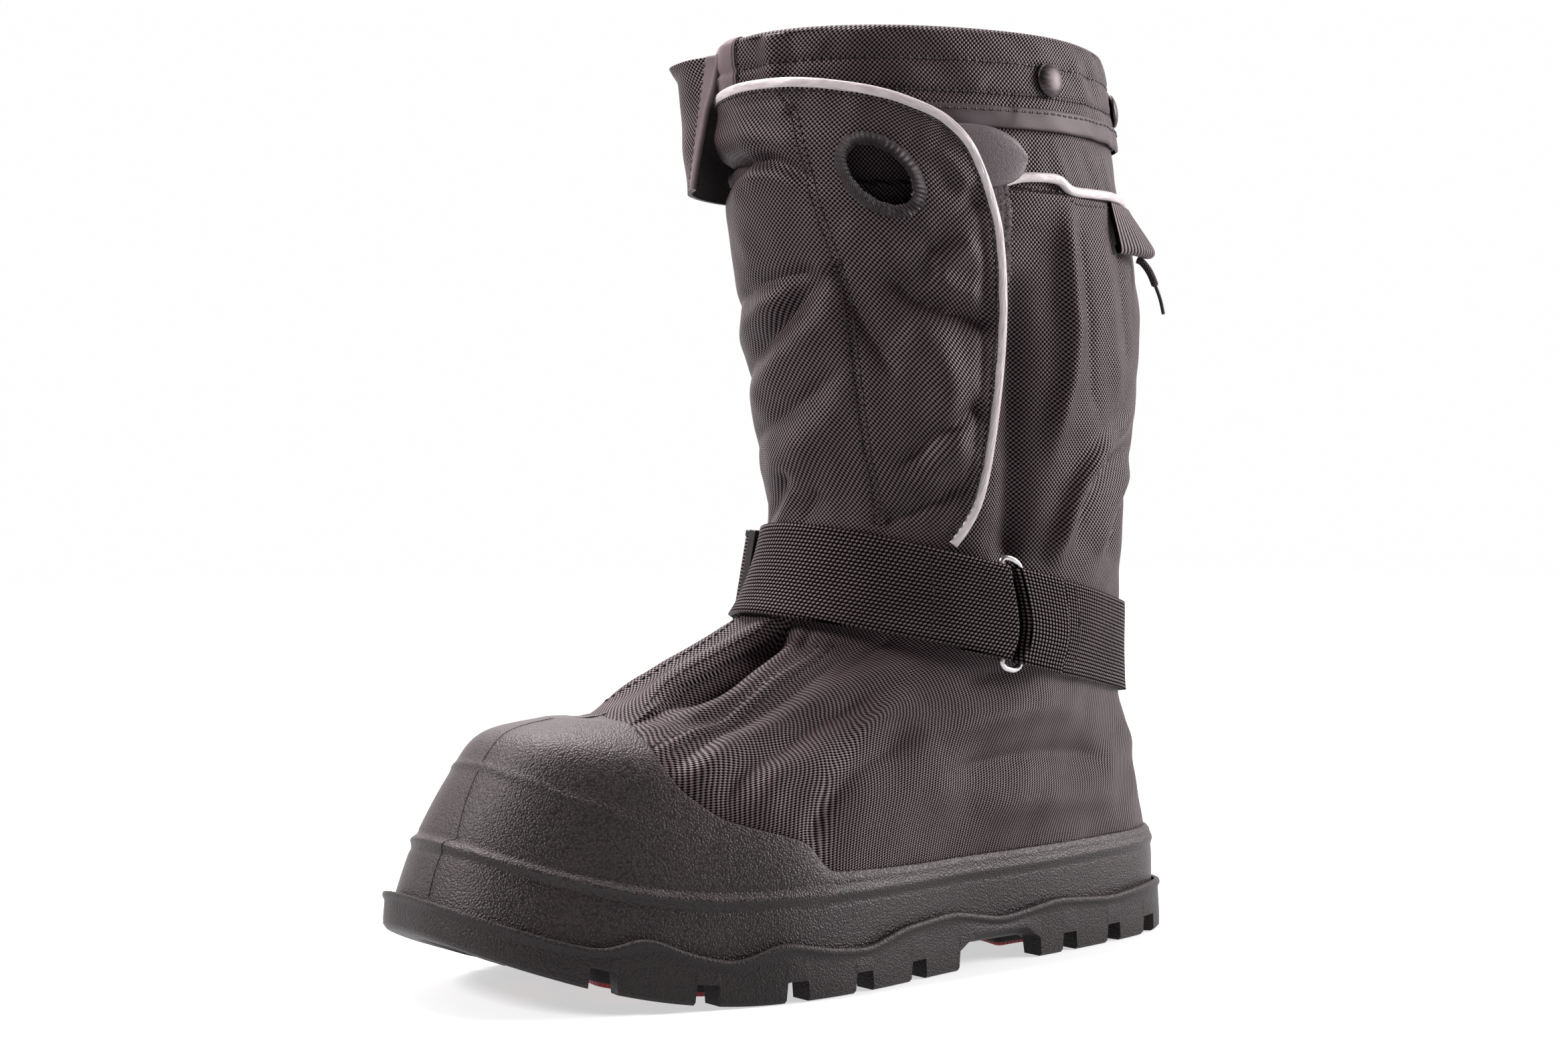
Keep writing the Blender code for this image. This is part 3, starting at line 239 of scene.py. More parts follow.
# Seam down the flap, as angle and height
FLAP_SEAM = ((17, 334.6), (21.5, 322.9), (25.5, 292.3), (29.5, 266), (31, 239.3), (32.5, 214.3),
             (36, 167.3))

# Folds: depth (ridge above zero, trough below), half width, curve as angle and height,
# and, where given, the shares of its length that fade at both ends
FLAP_FOLDS = (
    (-1.3, 2.0, ((54, 154), (60.5, 178), (65, 205), (66.5, 237), (68, 270), (67.5, 288), (65, 303),
                 (61.5, 312), (56, 318.5),
                 (45, 325), (30, 329.5), (12, 331.5), (-12, 331)), (0.02, 0.1)),
    (-1.0, 1.8, FLAP_SEAM, (0.02, 0.02)),
    (-5.6, 3.3, ((-50, 313), (-22, 311), (0, 310), (13, 309), (25.5, 300.5), (33, 295.5)), (0.02, 0.25)),
    (-3.4, 5.0, ((-40, 302), (-22, 304), (-8, 307.5), (2, 309)), (0.02, 0.3)),
    (2.6, 4.0, ((-14, 299.5), (-4, 302.5), (8, 303.5), (18, 300.5), (26, 292))),
    (2.3, 6.0, ((-46, 325), (-10, 319), (12, 315), (27, 308))),
    (-2.7, 3.6, ((18, 328), (23.5, 324.1), (30, 319.4), (37, 313))),
    (-4.3, 4.2, ((49, 313), (52, 309.1), (58, 302.5), (64, 294))),
    (2.2, 4.0, ((58, 312), (63, 304), (66, 296))),
    (-2.3, 4.0, ((70, 295), (62, 289), (54, 283))),
    (-3.8, 4.0, ((45, 290), (49, 284), (54, 277), (57.5, 271)), (0.2, 0.3)),
    (2.7, 5.5, ((32, 286), (40, 280), (45, 272), (47, 263))),
    (2.4, 5.0, ((54, 268), (60, 272), (67, 278))),
    (-5, 5.0, ((41, 272), (45, 264), (51, 254.5), (64, 249), (70, 248))),
    (2.5, 5.0, ((53, 264), (59, 259), (67, 257))),
    (-4, 4.6, ((-48, 252), (-26.5, 258), (1.5, 264.1), (16.5, 266), (24, 267))),
    (3.1, 5.5, ((-44, 240), (-26, 245), (0, 254), (15, 262))),
    (-5.4, 5.5, ((-52, 214), (-26.5, 229.6), (-0.5, 242.8), (17, 257.8), (27, 266))),
    (2.5, 6.5, ((-30, 215), (-4, 228), (18, 244), (28, 252))),
    (-3.8, 5.5, ((-50, 186), (-26.5, 202), (10, 216.3), (30, 233))),
    (2.2, 7.0, ((-20, 186), (8, 200), (26, 214))),
    (-4.8, 4.4, ((27, 270), (29, 264), (35, 246), (39.5, 236), (44, 225)), (0.15, 0.3)),
    (4.2, 9.0, ((47, 250), (52, 240), (57, 222), (58, 204), (57, 190))),
    (-3.6, 4.4, ((67, 217), (59, 209), (50, 200), (40, 190)), (0.1, 0.3)),
    (2.0, 5.0, ((64, 203), (54, 193), (46, 185))),
    (-3.6, 4.2, ((37, 172), (44, 174), (54, 180), (63, 188)), (0.1, 0.2)),
    (-3.2, 4.0, ((-20, 168), (-16, 174), (-4, 184), (3, 193))),
    (-2.7, 3.6, ((-36, 168), (-28, 178), (-22, 190))),
    (-2.2, 3.6, ((6, 166), (11, 176), (15, 184))),
    (1.8, 4.0, ((-10, 168), (-3, 176), (5, 186))),
    (-4, 6.0, ((-95, 306), (-76, 296), (-58, 280), (-46, 266))),
    (2.5, 6.0, ((-92, 290), (-72, 280), (-56, 264))),
    (-4.3, 6.0, ((-98, 258), (-74, 246), (-56, 228), (-46, 214))),
    (2.5, 7.0, ((-95, 236), (-72, 226), (-56, 210))),
    (-3.2, 6.0, ((-98, 206), (-76, 198), (-60, 184), (-52, 174))),
)
UPPER_FOLDS = (
    # Shaft, lateral side and back
    (-7.0, 7.6, ((77, 272), (77.5, 246), (78.5, 215), (79, 185), (79, 160), (79, 150)), (0.3, 0.1)),
    (5.0, 5.5, ((100, 300), (96, 280), (95, 264.8), (95, 235), (92.5, 211.8), (90, 190))),
    (-1.8, 4.4, ((102, 296), (102, 275), (102.5, 255), (105, 226), (113, 206))),
    (1.2, 6.0, ((112, 298), (113, 268), (116, 238), (124, 216))),
    (-1.6, 5.0, ((124, 296), (124, 262), (127, 232))),
    (5.0, 4.8, ((150, 218), (138, 216), (126, 209), (112.5, 200.1), (103, 186.9), (96, 165), (94, 152)),
     (0.62, 0.2)),
    (-4.2, 6.0, ((148, 206), (132, 201), (118, 191), (108, 176), (102, 158)), (0.5, 0.25)),
    (3, 7.0, ((150, 192), (134, 186), (122, 172), (114, 156))),
    (-3.0, 6.0, ((158, 192), (143, 185), (132, 169), (126, 154))),
    (-1.8, 4.0, ((90, 326), (89, 314), (87, 304))),
    (1.8, 4.0, ((98, 324), (99, 314), (102, 303))),
    (-2, 4.5, ((110, 324), (113, 314), (118, 303))),
    (1.5, 4.5, ((128, 324), (126, 312), (130, 304))),
    (3.3, 7.0, ((178, 292), (176, 262), (170, 232), (162, 214))),
    (-3.6, 6.0, ((164, 292), (163, 262), (156, 232))),
    (-3.3, 6.0, ((-172, 292), (-170, 258), (-164, 228))),
    (3.3, 6.5, ((-158, 292), (-156, 256), (-160, 226))),
    (-3.6, 6.0, ((-142, 294), (-140, 256), (-146, 222))),
    (3.9, 6.5, ((-128, 294), (-126, 258), (-122, 222), (-116, 198))),
    (-3.9, 5.5, ((-114, 292), (-112, 256), (-108, 216))),
    (3.2, 6.5, ((-170, 216), (-150, 212), (-128, 203), (-110, 188), (-104, 166)), (0.5, 0.25)),
    (-3.4, 6.5, ((-166, 203), (-148, 200), (-126, 190), (-112, 172)), (0.4, 0.25)),
    (3, 6.0, ((-176, 190), (-156, 186), (-138, 174), (-126, 158))),
    (-3.3, 5.0, ((175, 178), (-168, 172), (-150, 162), (-140, 150))),
    # Foot, from the toe cap back to the strap
    (4, 5.5, ((13, 99.5), (7, 108), (5, 118), (8, 130), (14, 140))),
    (-8.5, 4.8, ((15, 101), (19.5, 104.5), (22, 109), (20, 117), (16.5, 126), (14.5, 135)), (0.5, 0.02)),
    (2.6, 4.6, ((28, 95), (32, 101), (31, 109), (27.5, 119), (25, 130))),
    (1.2, 1.7, ((39, 86), (41.5, 92), (42.5, 97.4), (41, 101.5), (38.5, 110.7), (37.5, 119.7), (36, 130))),
    (-2.2, 4.5, ((44, 80), (47, 90), (48, 101), (47, 114), (46, 126))),
    (2.2, 6.0, ((49, 70), (50, 80), (51.5, 90), (55, 99.7), (59.5, 110), (64, 122))),
    (-2.9, 6.0, ((56, 66), (57.5, 78.5), (62, 90.6), (65, 101), (70, 114))),
    (2.0, 7.0, ((61, 58), (62, 70), (64.5, 82.3), (71, 93.9), (78, 106))),
    (-2.8, 6.0, ((70, 54), (72, 66), (77, 80), (86, 92))),
    (-2, 3.2, ((22, 138), (27, 130), (30, 122))),
    (-1.6, 3.5, ((54, 130), (53, 121), (52, 112))),
    (-3, 6.5, ((84, 106), (96, 114), (110, 116), (124, 110))),
    (2.1, 6.5, ((80, 88), (96, 95), (114, 98), (130, 94))),
    (-2.8, 6.5, ((92, 74), (108, 79), (126, 78), (142, 72))),
    (1.9, 7.0, ((100, 60), (120, 62), (144, 58))),
    (-1.9, 6.0, ((148, 104), (166, 98), (-176, 98), (-160, 104))),
    (1.8, 6.0, ((146, 84), (166, 78), (-174, 78), (-156, 84))),
    (3.8, 5.5, ((-16, 99.5), (-14, 108), (-12, 118), (-12, 130), (-16, 140))),
    (-5, 5.5, ((-24, 101), (-28, 106), (-28, 114), (-24, 124))),
    (2.8, 5.0, ((-32, 95), (-37, 102), (-36, 110), (-31, 122))),
    (1.2, 1.7, ((-39, 86), (-41.5, 92), (-42.5, 97.4), (-41, 101.5), (-38.5, 110.7), (-36, 130))),
    (2.8, 5.6, ((-49, 70), (-50, 80), (-52, 92), (-56, 104), (-62, 120))),
    (-3.2, 5.5, ((-56, 66), (-59, 80), (-64, 94), (-70, 112))),
    (2.2, 6.5, ((-62, 58), (-65, 74), (-72, 90), (-82, 104))),
    (-3, 6.5, ((-84, 106), (-98, 114), (-114, 114), (-130, 106))),
    (2, 6.5, ((-80, 86), (-98, 93), (-118, 94), (-136, 88))),
    (-2.5, 6.5, ((-92, 72), (-112, 76), (-132, 72))),
)
GALOSH_FOLDS = (
    (0.55, 1.5, ((-48, 58), (-37, 69), (-26, 75), (-11.5, 80.9), (3, 82.9), (17.5, 79.5), (28.5, 73.6),
                 (37.5, 68.8), (48, 60))),
)
CUFF_FOLDS = (
    (-0.9, 5.0, ((1, 360), (2, 350), (2, 340), (1, 330))),
    (1.9, 4.5, ((10, 361), (11, 351), (11, 341), (10, 330))),
    (-1.2, 4.5, ((19, 358), (20, 350), (20, 340))),
    (-0.9, 5.0, ((30, 352), (38, 345), (48, 340))),
    (-0.8, 4.0, ((118, 356), (122, 348), (124, 338))),
    (0.8, 4.5, ((110, 354), (113, 346), (116, 336))),
    (-0.9, 5.0, ((76, 340), (80, 334), (86, 330))),
    (-0.9, 5.0, ((-80, 350), (-90, 342), (-104, 338))),
    (-0.8, 5.0, ((170, 356), (178, 346), (186, 338))),
    (0.8, 5.0, ((200, 352), (206, 344), (214, 336))),
)
# Lines of the vamp and of the toe cap's mould, as angle and height
VAMP_EDGE = ((19, 100.5), (13.5, 108), (12.5, 118), (13.5, 128), (15, 133))
VAMP_SEAM = ((40, 89), (41.5, 92.5), (42.5, 97.4), (41, 101.5), (38.5, 110.7), (37.5, 119.7), (36.5, 126))
MOULD_LINE = ((0.5, 99), (1.5, 96.5), (3, 90), (3.5, 82.9), (5, 72), (7, 61.5), (7.3, 59), (5, 57.3),
              (4.2, 52), (3.6, 45), (3.4, 39))


def along(rows, place_on):
    """Catmull-Rom values of a table of rows at fractional row numbers."""
    rows = np.asarray(rows, dtype=float)
    if rows.ndim == 1:
        rows = rows[:, None]
    last = len(rows) - 1
    place_on = np.clip(np.asarray(place_on, dtype=float), 0.0, last)
    cell = np.clip(np.floor(place_on).astype(int), 0, last - 1)
    t = (place_on - cell)[..., None]
    before = rows[np.clip(cell - 1, 0, last)]
    here = rows[cell]
    after = rows[cell + 1]
    beyond = rows[np.clip(cell + 2, 0, last)]
    slope_here = (after - before) / 2
    slope_after = (beyond - here) / 2
    return (here * (2 * t**3 - 3 * t**2 + 1) + slope_here * (t**3 - 2 * t**2 + t)
            + after * (3 * t**2 - 2 * t**3) + slope_after * (t**3 - t**2))


def drawn(rows, per_step=10):
    """Smooth line through the rows of a table, with so many points per row."""
    return along(rows, np.linspace(0, len(rows) - 1, per_step * (len(rows) - 1) + 1))


def between(table, value, key=0):
    """Other column of a table of two, joined straight, at values of the key column."""
    rows = np.array(table, float)
    return np.interp(value, rows[:, key], rows[:, 1 - key])


def ease(low, high, value):
    """Smooth step from 0 at low to 1 at high."""
    t = np.clip((np.asarray(value, dtype=float) - low) / (high - low), 0.0, 1.0)
    return t * t * (3 - 2 * t)


def spring(x):
    """Toe spring: parabola from the ball to the toe tip."""
    return TOE_SPRING * (np.clip(x - SPRING_START, 0, None) / (SOLE_HALF_LENGTH - SPRING_START))**2


def last_form(level, angle):
    """Point of the last at a section level and an angle in radians: superellipse halves with eased
    widths."""
    level, angle = np.broadcast_arrays(np.asarray(level, float), np.asarray(angle, float))
    row = dict(zip(SECTION, np.moveaxis(along(SECTIONS, level), -1, 0)))
    reach = np.cos(angle)
    station = (1 + reach) / 2
    square = np.where(reach > 0, row["toe_square"], row["heel_square"])
    side = np.sign(np.sin(angle)) * np.clip(1 - np.abs(reach)**square, 0, 1)**(1 / square)
    half = row["heel"] + (row["waist"] - row["heel"]) * ease(HEEL_STATION, WAIST_STATION, station)
    half = half + (row["ball"] - row["waist"]) * ease(WAIST_STATION, BALL_STATION, station)
    shift = along(CENTRE_LINE, station * (len(CENTRE_LINE) - 1))[..., 0]
    x = row["back_x"] + (row["front_x"] - row["back_x"]) * station
    y = side * half + shift * row["bend"]
    z = row["back_z"] + (row["front_z"] - row["back_z"]) * station**row["rise"]
    z = z + row["spring"] * spring(x)
    return np.stack((x, y, z), axis=-1)


def unit(vectors):
    """Vectors made one long."""
    return vectors / np.maximum(np.linalg.norm(vectors, axis=-1, keepdims=True), 1e-9)


def outward(level, angle):
    """Unit normal of the last, by small steps of both parameters."""
    level, angle = np.asarray(level, float), np.asarray(angle, float)
    turn = last_form(level, angle + 0.02) - last_form(level, angle - 0.02)
    climb = last_form(level + 0.02, angle) - last_form(level - 0.02, angle)
    return unit(np.cross(turn, climb))


def skin(level, angle, offset):
    """Last surface moved outward by an offset."""
    return last_form(level, angle) + np.asarray(offset, float)[..., None] * outward(level, angle)


TABLE_TURNS = 360
TABLE_STEPS = 728
TABLE_LOW = 8
TABLE_HIGH = 372
TABLE_ANGLES = np.radians(np.linspace(-180, 180, TABLE_TURNS + 1))
TABLE_HEIGHTS = np.linspace(TABLE_LOW, TABLE_HIGH, TABLE_STEPS + 1)
LEVEL_SAMPLES = np.linspace(0, len(SECTIONS) - 1, 520)
LEVEL_TABLE = np.array([np.interp(TABLE_HEIGHTS, last_form(LEVEL_SAMPLES, a)[:, 2], LEVEL_SAMPLES)
                        for a in TABLE_ANGLES])


def level_at(angle, height):
    """Section level at an angle and height, read between the entries of a table."""
    angle, height = np.broadcast_arrays(np.asarray(angle, float), np.asarray(height, float))
    across = ((angle + np.pi) % (2 * np.pi)) / (2 * np.pi) * TABLE_TURNS
    upward = np.clip((height - TABLE_LOW) / (TABLE_HIGH - TABLE_LOW) * TABLE_STEPS, 0, TABLE_STEPS - 0.001)
    i = np.clip(across.astype(int), 0, TABLE_TURNS - 1)
    j = upward.astype(int)
    s, t = across - i, upward - j
    low = LEVEL_TABLE[i, j] * (1 - t) + LEVEL_TABLE[i, j + 1] * t
    high = LEVEL_TABLE[i + 1, j] * (1 - t) + LEVEL_TABLE[i + 1, j + 1] * t
    return low * (1 - s) + high * s


def place(angle_deg, height, offset):
    """Skin point given by an angle in degrees, a height and an offset."""
    angle = np.radians(np.asarray(angle_deg, float))
    angle, height, offset = np.broadcast_arrays(angle, np.asarray(height, float), np.asarray(offset, float))
    return skin(level_at(angle, height), angle, offset)


def normal_at(angle_deg, height):
    """Outward unit normal at an angle in degrees and a height."""
    angle = np.radians(np.asarray(angle_deg, float))
    return outward(level_at(angle, height), angle)


def facing(angle_deg, height):
    """Right, up and outward unit axes of the skin at an angle and height."""
    normal = normal_at(angle_deg, height)
    right = unit(np.cross((0.0, 0.0, 1.0), normal))
    return right, np.cross(normal, right), normal


def fold_curves(folds, offset):
    """Each fold's depth, half width, shares of its length that fade at both ends, and its line on the
    skin."""
    made = []
    for depth, width, rows, *fades in folds:
        rows = np.array(rows, float)
        rows[:, 0] = np.degrees(np.unwrap(np.radians(rows[:, 0])))
        line = drawn(rows)
        made.append((depth, width, fades[0] if fades else (0.25, 0.25),
                     place(line[:, 0], line[:, 1], offset)))
    return made


def relief(points, curves):
    """Sum over the folds of depth times a falling share of the distance to the fold's line, fading out at
    both
    ends: a ridge falls as a round bell, a trough as a blunted cusp."""
    flat = points.reshape(-1, 3)
    total = np.zeros(len(flat))
    for depth, width, fades, line in curves:
        margin = 3 * width
        near = np.flatnonzero(np.all((flat > line.min(axis=0) - margin) & (flat < line.max(axis=0)
                                                                           + margin), axis=1))
        if not len(near):
            continue
        spots = flat[near]
        best = np.full(len(spots), 1e9)
        share = np.zeros(len(spots))
        for number, (start, end) in enumerate(zip(line[:-1], line[1:])):
            step = end - start
            t = np.clip((spots - start) @ step / (step @ step), 0, 1)
            gap = np.linalg.norm(spots - start - t[:, None] * step, axis=1)
            closer = gap < best
            best = np.where(closer, gap, best)
            share = np.where(closer, (number + t) / (len(line) - 1), share)
        fade = ease(0, fades[0], share) * ease(1, 1 - fades[1], share)
        blunt = 0.3 * width
        cusp = np.exp(-1.5 * (np.sqrt(best**2 + blunt**2) - blunt) / width)
        total[near] += depth * fade * np.where(depth > 0, np.exp(-(best / width)**2), cusp)
    return total.reshape(points.shape[:-1])


def ripples(points, height, length, seed):
    """Slight waves of cloth: seven sine waves of differing direction and length."""
    choose = np.random.default_rng(seed)
    total = np.zeros(points.shape[:-1])
    for number in range(7):
        direction = unit(choose.normal(size=3))
        reach = length * choose.uniform(0.6, 1.7)
        total += np.sin(points @ direction * 2 * np.pi / reach + choose.uniform(0, 6.28))
    return total * height / 2.6


# Meshes
def grid_quads(rows, columns, around):
    """Corner numbers of a grid's quads, and of the same quads on a texture grid that isn't closed."""
    i = np.arange(rows - 1)[:, None]
    j = np.arange(columns if around else columns - 1)[None, :]
    k = (j + 1) % columns
    wide = columns + 1 if around else columns
    quads = np.stack((i * columns + j, i * columns + k, (i + 1) * columns + k, (i + 1) * columns + j),
                     axis=-1)
    texture = np.stack((i * wide + j, i * wide + j + 1, (i + 1) * wide + j + 1, (i + 1) * wide + j),
                       axis=-1)
    return quads.reshape(-1, 4), texture.reshape(-1, 4)


def cloth_map(grid, around=False, origin=0):
    """Texture places in millimetres: lengths along the rows from one column, and up the columns from the
    top."""
    closed = np.concatenate((grid, grid[:, :1]), axis=1) if around else grid
    u = np.cumsum(np.linalg.norm(np.diff(closed, axis=1), axis=-1), axis=1)
    u = np.concatenate((np.zeros((len(closed), 1)), u), axis=1)
    v = np.cumsum(np.linalg.norm(np.diff(closed, axis=0), axis=-1), axis=0)
    v = np.concatenate((np.zeros((1, closed.shape[1])), v), axis=0)
    return np.stack((u - u[:, origin:origin + 1], v - v[-1:]), axis=-1)


def mesh_piece(name, points, quads, finish, corner_map=None, triangles=None, sharp=40):
    """Object from points in millimetres and arrays of corner numbers, shaded smooth below the sharp
    angle."""
    points = np.asarray(points, float).reshape(-1, 3) * MM
    quads = np.asarray(quads, int).reshape(-1, 4)
    triangles = np.zeros((0, 3), int) if triangles is None else np.asarray(triangles, int).reshape(-1, 3)
    corners = np.concatenate((quads.ravel(), triangles.ravel()))
    starts = np.concatenate((4 * np.arange(len(quads)), 4 * len(quads) + 3 * np.arange(len(triangles))))
    mesh = bpy.data.meshes.new(name)
    mesh.vertices.add(len(points))
    mesh.vertices.foreach_set("co", points.ravel())
    mesh.loops.add(len(corners))
    mesh.loops.foreach_set("vertex_index", corners.astype(np.int32))
    mesh.polygons.add(len(starts))
    mesh.polygons.foreach_set("loop_start", starts.astype(np.int32))
    mesh.update(calc_edges=True)
    if corner_map is not None:
        layer = mesh.uv_layers.new(name="weave")
        layer.data.foreach_set("uv", np.asarray(corner_map, float).reshape(-1).astype(np.float32))
    mesh.polygons.foreach_set("use_smooth", np.ones(len(starts), bool))
    mesh.set_sharp_from_angle(angle=math.radians(sharp))
    mesh.materials.append(finish)
    piece = bpy.data.objects.new(name, mesh)
    bpy.context.scene.collection.objects.link(piece)
    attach(piece, "root")
    return piece


def grid_piece(name, grid, finish, around=False, origin=0, wall=0.0, side=-1.0, keep=None, base=None,
               flip=False,
               sharp=40):
    """Surface over a grid of points, with cloth texture places, given a wall by Solidify if asked."""
    rows, columns = grid.shape[:2]
    quads, texture = grid_quads(rows, columns, around)
    places = cloth_map(grid if base is None else base, around, origin).reshape(-1, 2)
    if keep is not None:
        quads, texture = quads[keep], texture[keep]
    if flip:
        quads, texture = quads[:, ::-1], texture[:, ::-1]
    piece = mesh_piece(name, grid, quads, finish, places[texture], sharp=sharp)
    if wall:
        modifier = piece.modifiers.new("wall", "SOLIDIFY")
        modifier.thickness = wall * MM
        modifier.offset = side
        modifier.use_even_offset = False
    return piece


def frames_along(line, hint):
    """Unit directions along a line, outward (from the hint) and aside, by central differences."""
    forward = unit(np.gradient(line, axis=0))
    aside = unit(np.cross(forward, hint))
    return forward, np.cross(aside, forward), aside


def sweep(name, line, hint, profile, finish, closed=False, scale=None):
    """Profile of aside and outward lengths carried along a line, with fans over the ends of an open one."""
    profile = np.asarray(profile, float)
    if closed:
        forward = unit(np.roll(line, -1, axis=0) - np.roll(line, 1, axis=0))
        aside = unit(np.cross(forward, hint))
        up = np.cross(aside, forward)
    else:
        forward, up, aside = frames_along(line, hint)
    size = np.ones(len(line)) if scale is None else np.asarray(scale, float)
    grid = (line[:, None] + size[:, None, None] * (profile[None, :, :1] * aside[:, None]
            + profile[None, :, 1:] * up[:, None]))
    count, sides = grid.shape[:2]
    loop = np.concatenate((grid, grid[:1])) if closed else grid
    quads, texture = grid_quads(len(loop), sides, True)
    places = cloth_map(loop, True)[..., ::-1].reshape(-1, 2)
    quads = quads % (count * sides)
    points = grid.reshape(-1, 3)
    triangles = None
    corner_map = places[texture].reshape(-1, 2)
    if not closed:
        j = np.arange(sides)
        k = (j + 1) % sides
        first, last = len(points), len(points) + 1
        points = np.concatenate((points, grid[:1].mean(axis=1), grid[-1:].mean(axis=1)))
        end = (count - 1) * sides
        triangles = np.concatenate((np.stack((k, j, 0 * j + first), axis=1),
                                    np.stack((end + j, end + k, 0 * j + last), axis=1)))
        corner_map = np.concatenate((corner_map, np.zeros((3 * len(triangles), 2))))
    return mesh_piece(name, points, quads, finish, corner_map, triangles)


def round_profile(across, outward_half, count=16, power=2.0):
    """Rounded profile: superellipse with given halves, turning so that faces point out."""
    turn = -np.linspace(0, 2 * np.pi, count, endpoint=False)
    c, s = np.cos(turn), np.sin(turn)
    return np.stack((across * np.sign(c) * np.abs(c)**(2 / power),
                     outward_half * np.sign(s) * np.abs(s)**(2 / power)), axis=1)


STITCHES = []
STITCH_RINGS = 5
STITCH_SIDES = 6


def stitch_row(line, normals, pitch=3.3, length=2.35, radius=0.34, skip=0.0):
    """Row of stitches: short six-sided rods along a line, one per pitch, bowed up and sunk at both ends."""
    steps = np.linalg.norm(np.diff(line, axis=0), axis=1)
    reach = np.concatenate(((0,), np.cumsum(steps)))
    spots = np.arange(skip + pitch / 2, reach[-1] - pitch / 2, pitch)
    if not len(spots):
        return

    def at(values, where):
        """Values at lengths along the line, joined straight."""
        return np.stack([np.interp(where, reach, values[:, axis]) for axis in range(3)], axis=-1)

    share = np.array((-0.5, -0.36, 0.0, 0.36, 0.5))
    thick = np.array((0.45, 0.9, 1.0, 0.9, 0.45))
    bow = np.array((-0.35, 0.05, 0.22, 0.05, -0.35))
    where = spots[:, None] + share[None, :] * length
    centre = at(line, where)
    up = unit(at(normals, where))
    forward = unit(at(line, where + 0.3) - at(line, where - 0.3))
    aside = unit(np.cross(forward, up))
    turn = np.linspace(0, 2 * np.pi, STITCH_SIDES, endpoint=False)
    across, upward = np.cos(turn)[:, None], np.sin(turn)[:, None]
    spread = across * aside[:, :, None] + upward * up[:, :, None]
    STITCHES.append(centre[:, :, None] + bow[None, :, None, None] * up[:, :, None]
                    + radius * thick[None, :, None, None] * spread)


# Finishes
def finish_base(name, colour, rough, metallic=0.0, specular=0.5):
    """New principled material, its tree and its shader."""
    material = bpy.data.materials.new(name)
    material.use_nodes = True
    shader = material.node_tree.nodes["Principled BSDF"]
    shader.inputs["Base Color"].default_value = (*colour, 1.0)
    shader.inputs["Roughness"].default_value = rough
    shader.inputs["Metallic"].default_value = metallic
    shader.inputs["Specular IOR Level"].default_value = specular
    return material, material.node_tree, shader


def made(tree, kind, values=(), **settings):
    """Node of a kind with settings, its inputs set from numbers or linked from sockets."""
    node = tree.nodes.new(kind)
    for key, value in settings.items():
        setattr(node, key, value)
    for key, value in dict(values).items():
        if isinstance(value, bpy.types.NodeSocket):
            tree.links.new(value, node.inputs[key])
        else:
            node.inputs[key].default_value = value
    return node


def sums(tree, operation, first, second=0.0):
    """Result socket of one Math node."""
    return made(tree, "ShaderNodeMath", {0: first, 1: second}, operation=operation).outputs[0]


def object_place(tree, scale=(1, 1, 1), turn=(0, 0, 0)):
    """Object coordinates, stretched and turned."""
    coordinates = tree.nodes.new("ShaderNodeTexCoord")
    mapping = made(tree, "ShaderNodeMapping", {"Vector": coordinates.outputs["Object"], "Scale": scale,
                                               "Rotation": turn})
    return mapping.outputs["Vector"]


def cloth_place(tree):
    """The piece's own texture places in millimetres, as a vector socket and its u and v."""
    source = made(tree, "ShaderNodeUVMap", uv_map="weave")
    parts = made(tree, "ShaderNodeSeparateXYZ", {0: source.outputs[0]})
    return source.outputs[0], parts.outputs[0], parts.outputs[1]


def noise(tree, vector, scale, detail=2.0, roughness=0.5):
    """Noise value socket."""
    return made(tree, "ShaderNodeTexNoise", {"Vector": vector, "Scale": scale, "Detail": detail,
                                             "Roughness": roughness}).outputs[0]


def blend_colour(tree, amount, first, second, mode="MIX"):
    """Colour socket between two colours by an amount."""
    node = tree.nodes.new("ShaderNodeMix")
    node.data_type = "RGBA"
    node.blend_type = mode
    for key, value in ((0, amount), (6, first), (7, second)):
        if isinstance(value, bpy.types.NodeSocket):
            tree.links.new(value, node.inputs[key])
        else:
            node.inputs[key].default_value = value if key == 0 else (*value, 1.0)
    return node.outputs[2]


def stretch(tree, value, low, high, to_low=0.0, to_high=1.0):
    """Value carried from one range to another, held at the ends."""
    return made(tree, "ShaderNodeMapRange", {0: value, 1: low, 2: high, 3: to_low, 4: to_high}).outputs[0]


def bump(tree, shader, height, depth):
    """Bump of a height socket, so many millimetres deep."""
    node = made(tree, "ShaderNodeBump", {"Strength": 1.0, "Distance": depth * MM, "Height": height})
    tree.links.new(node.outputs[0], shader.inputs["Normal"])


def tint(tree, shader, value, span, dark, light):
    """Base colour from dark to light as a value runs through a span."""
    colour = blend_colour(tree, stretch(tree, value, *span), dark, light)
    tree.links.new(colour, shader.inputs["Base Color"])


# Span of the weave's height from the painted shade of its gaps to the yarn's colour, and the top specular
# level
WEAVE_SPAN = (0.32, 0.95)
WEAVE_SHINE = 0.34


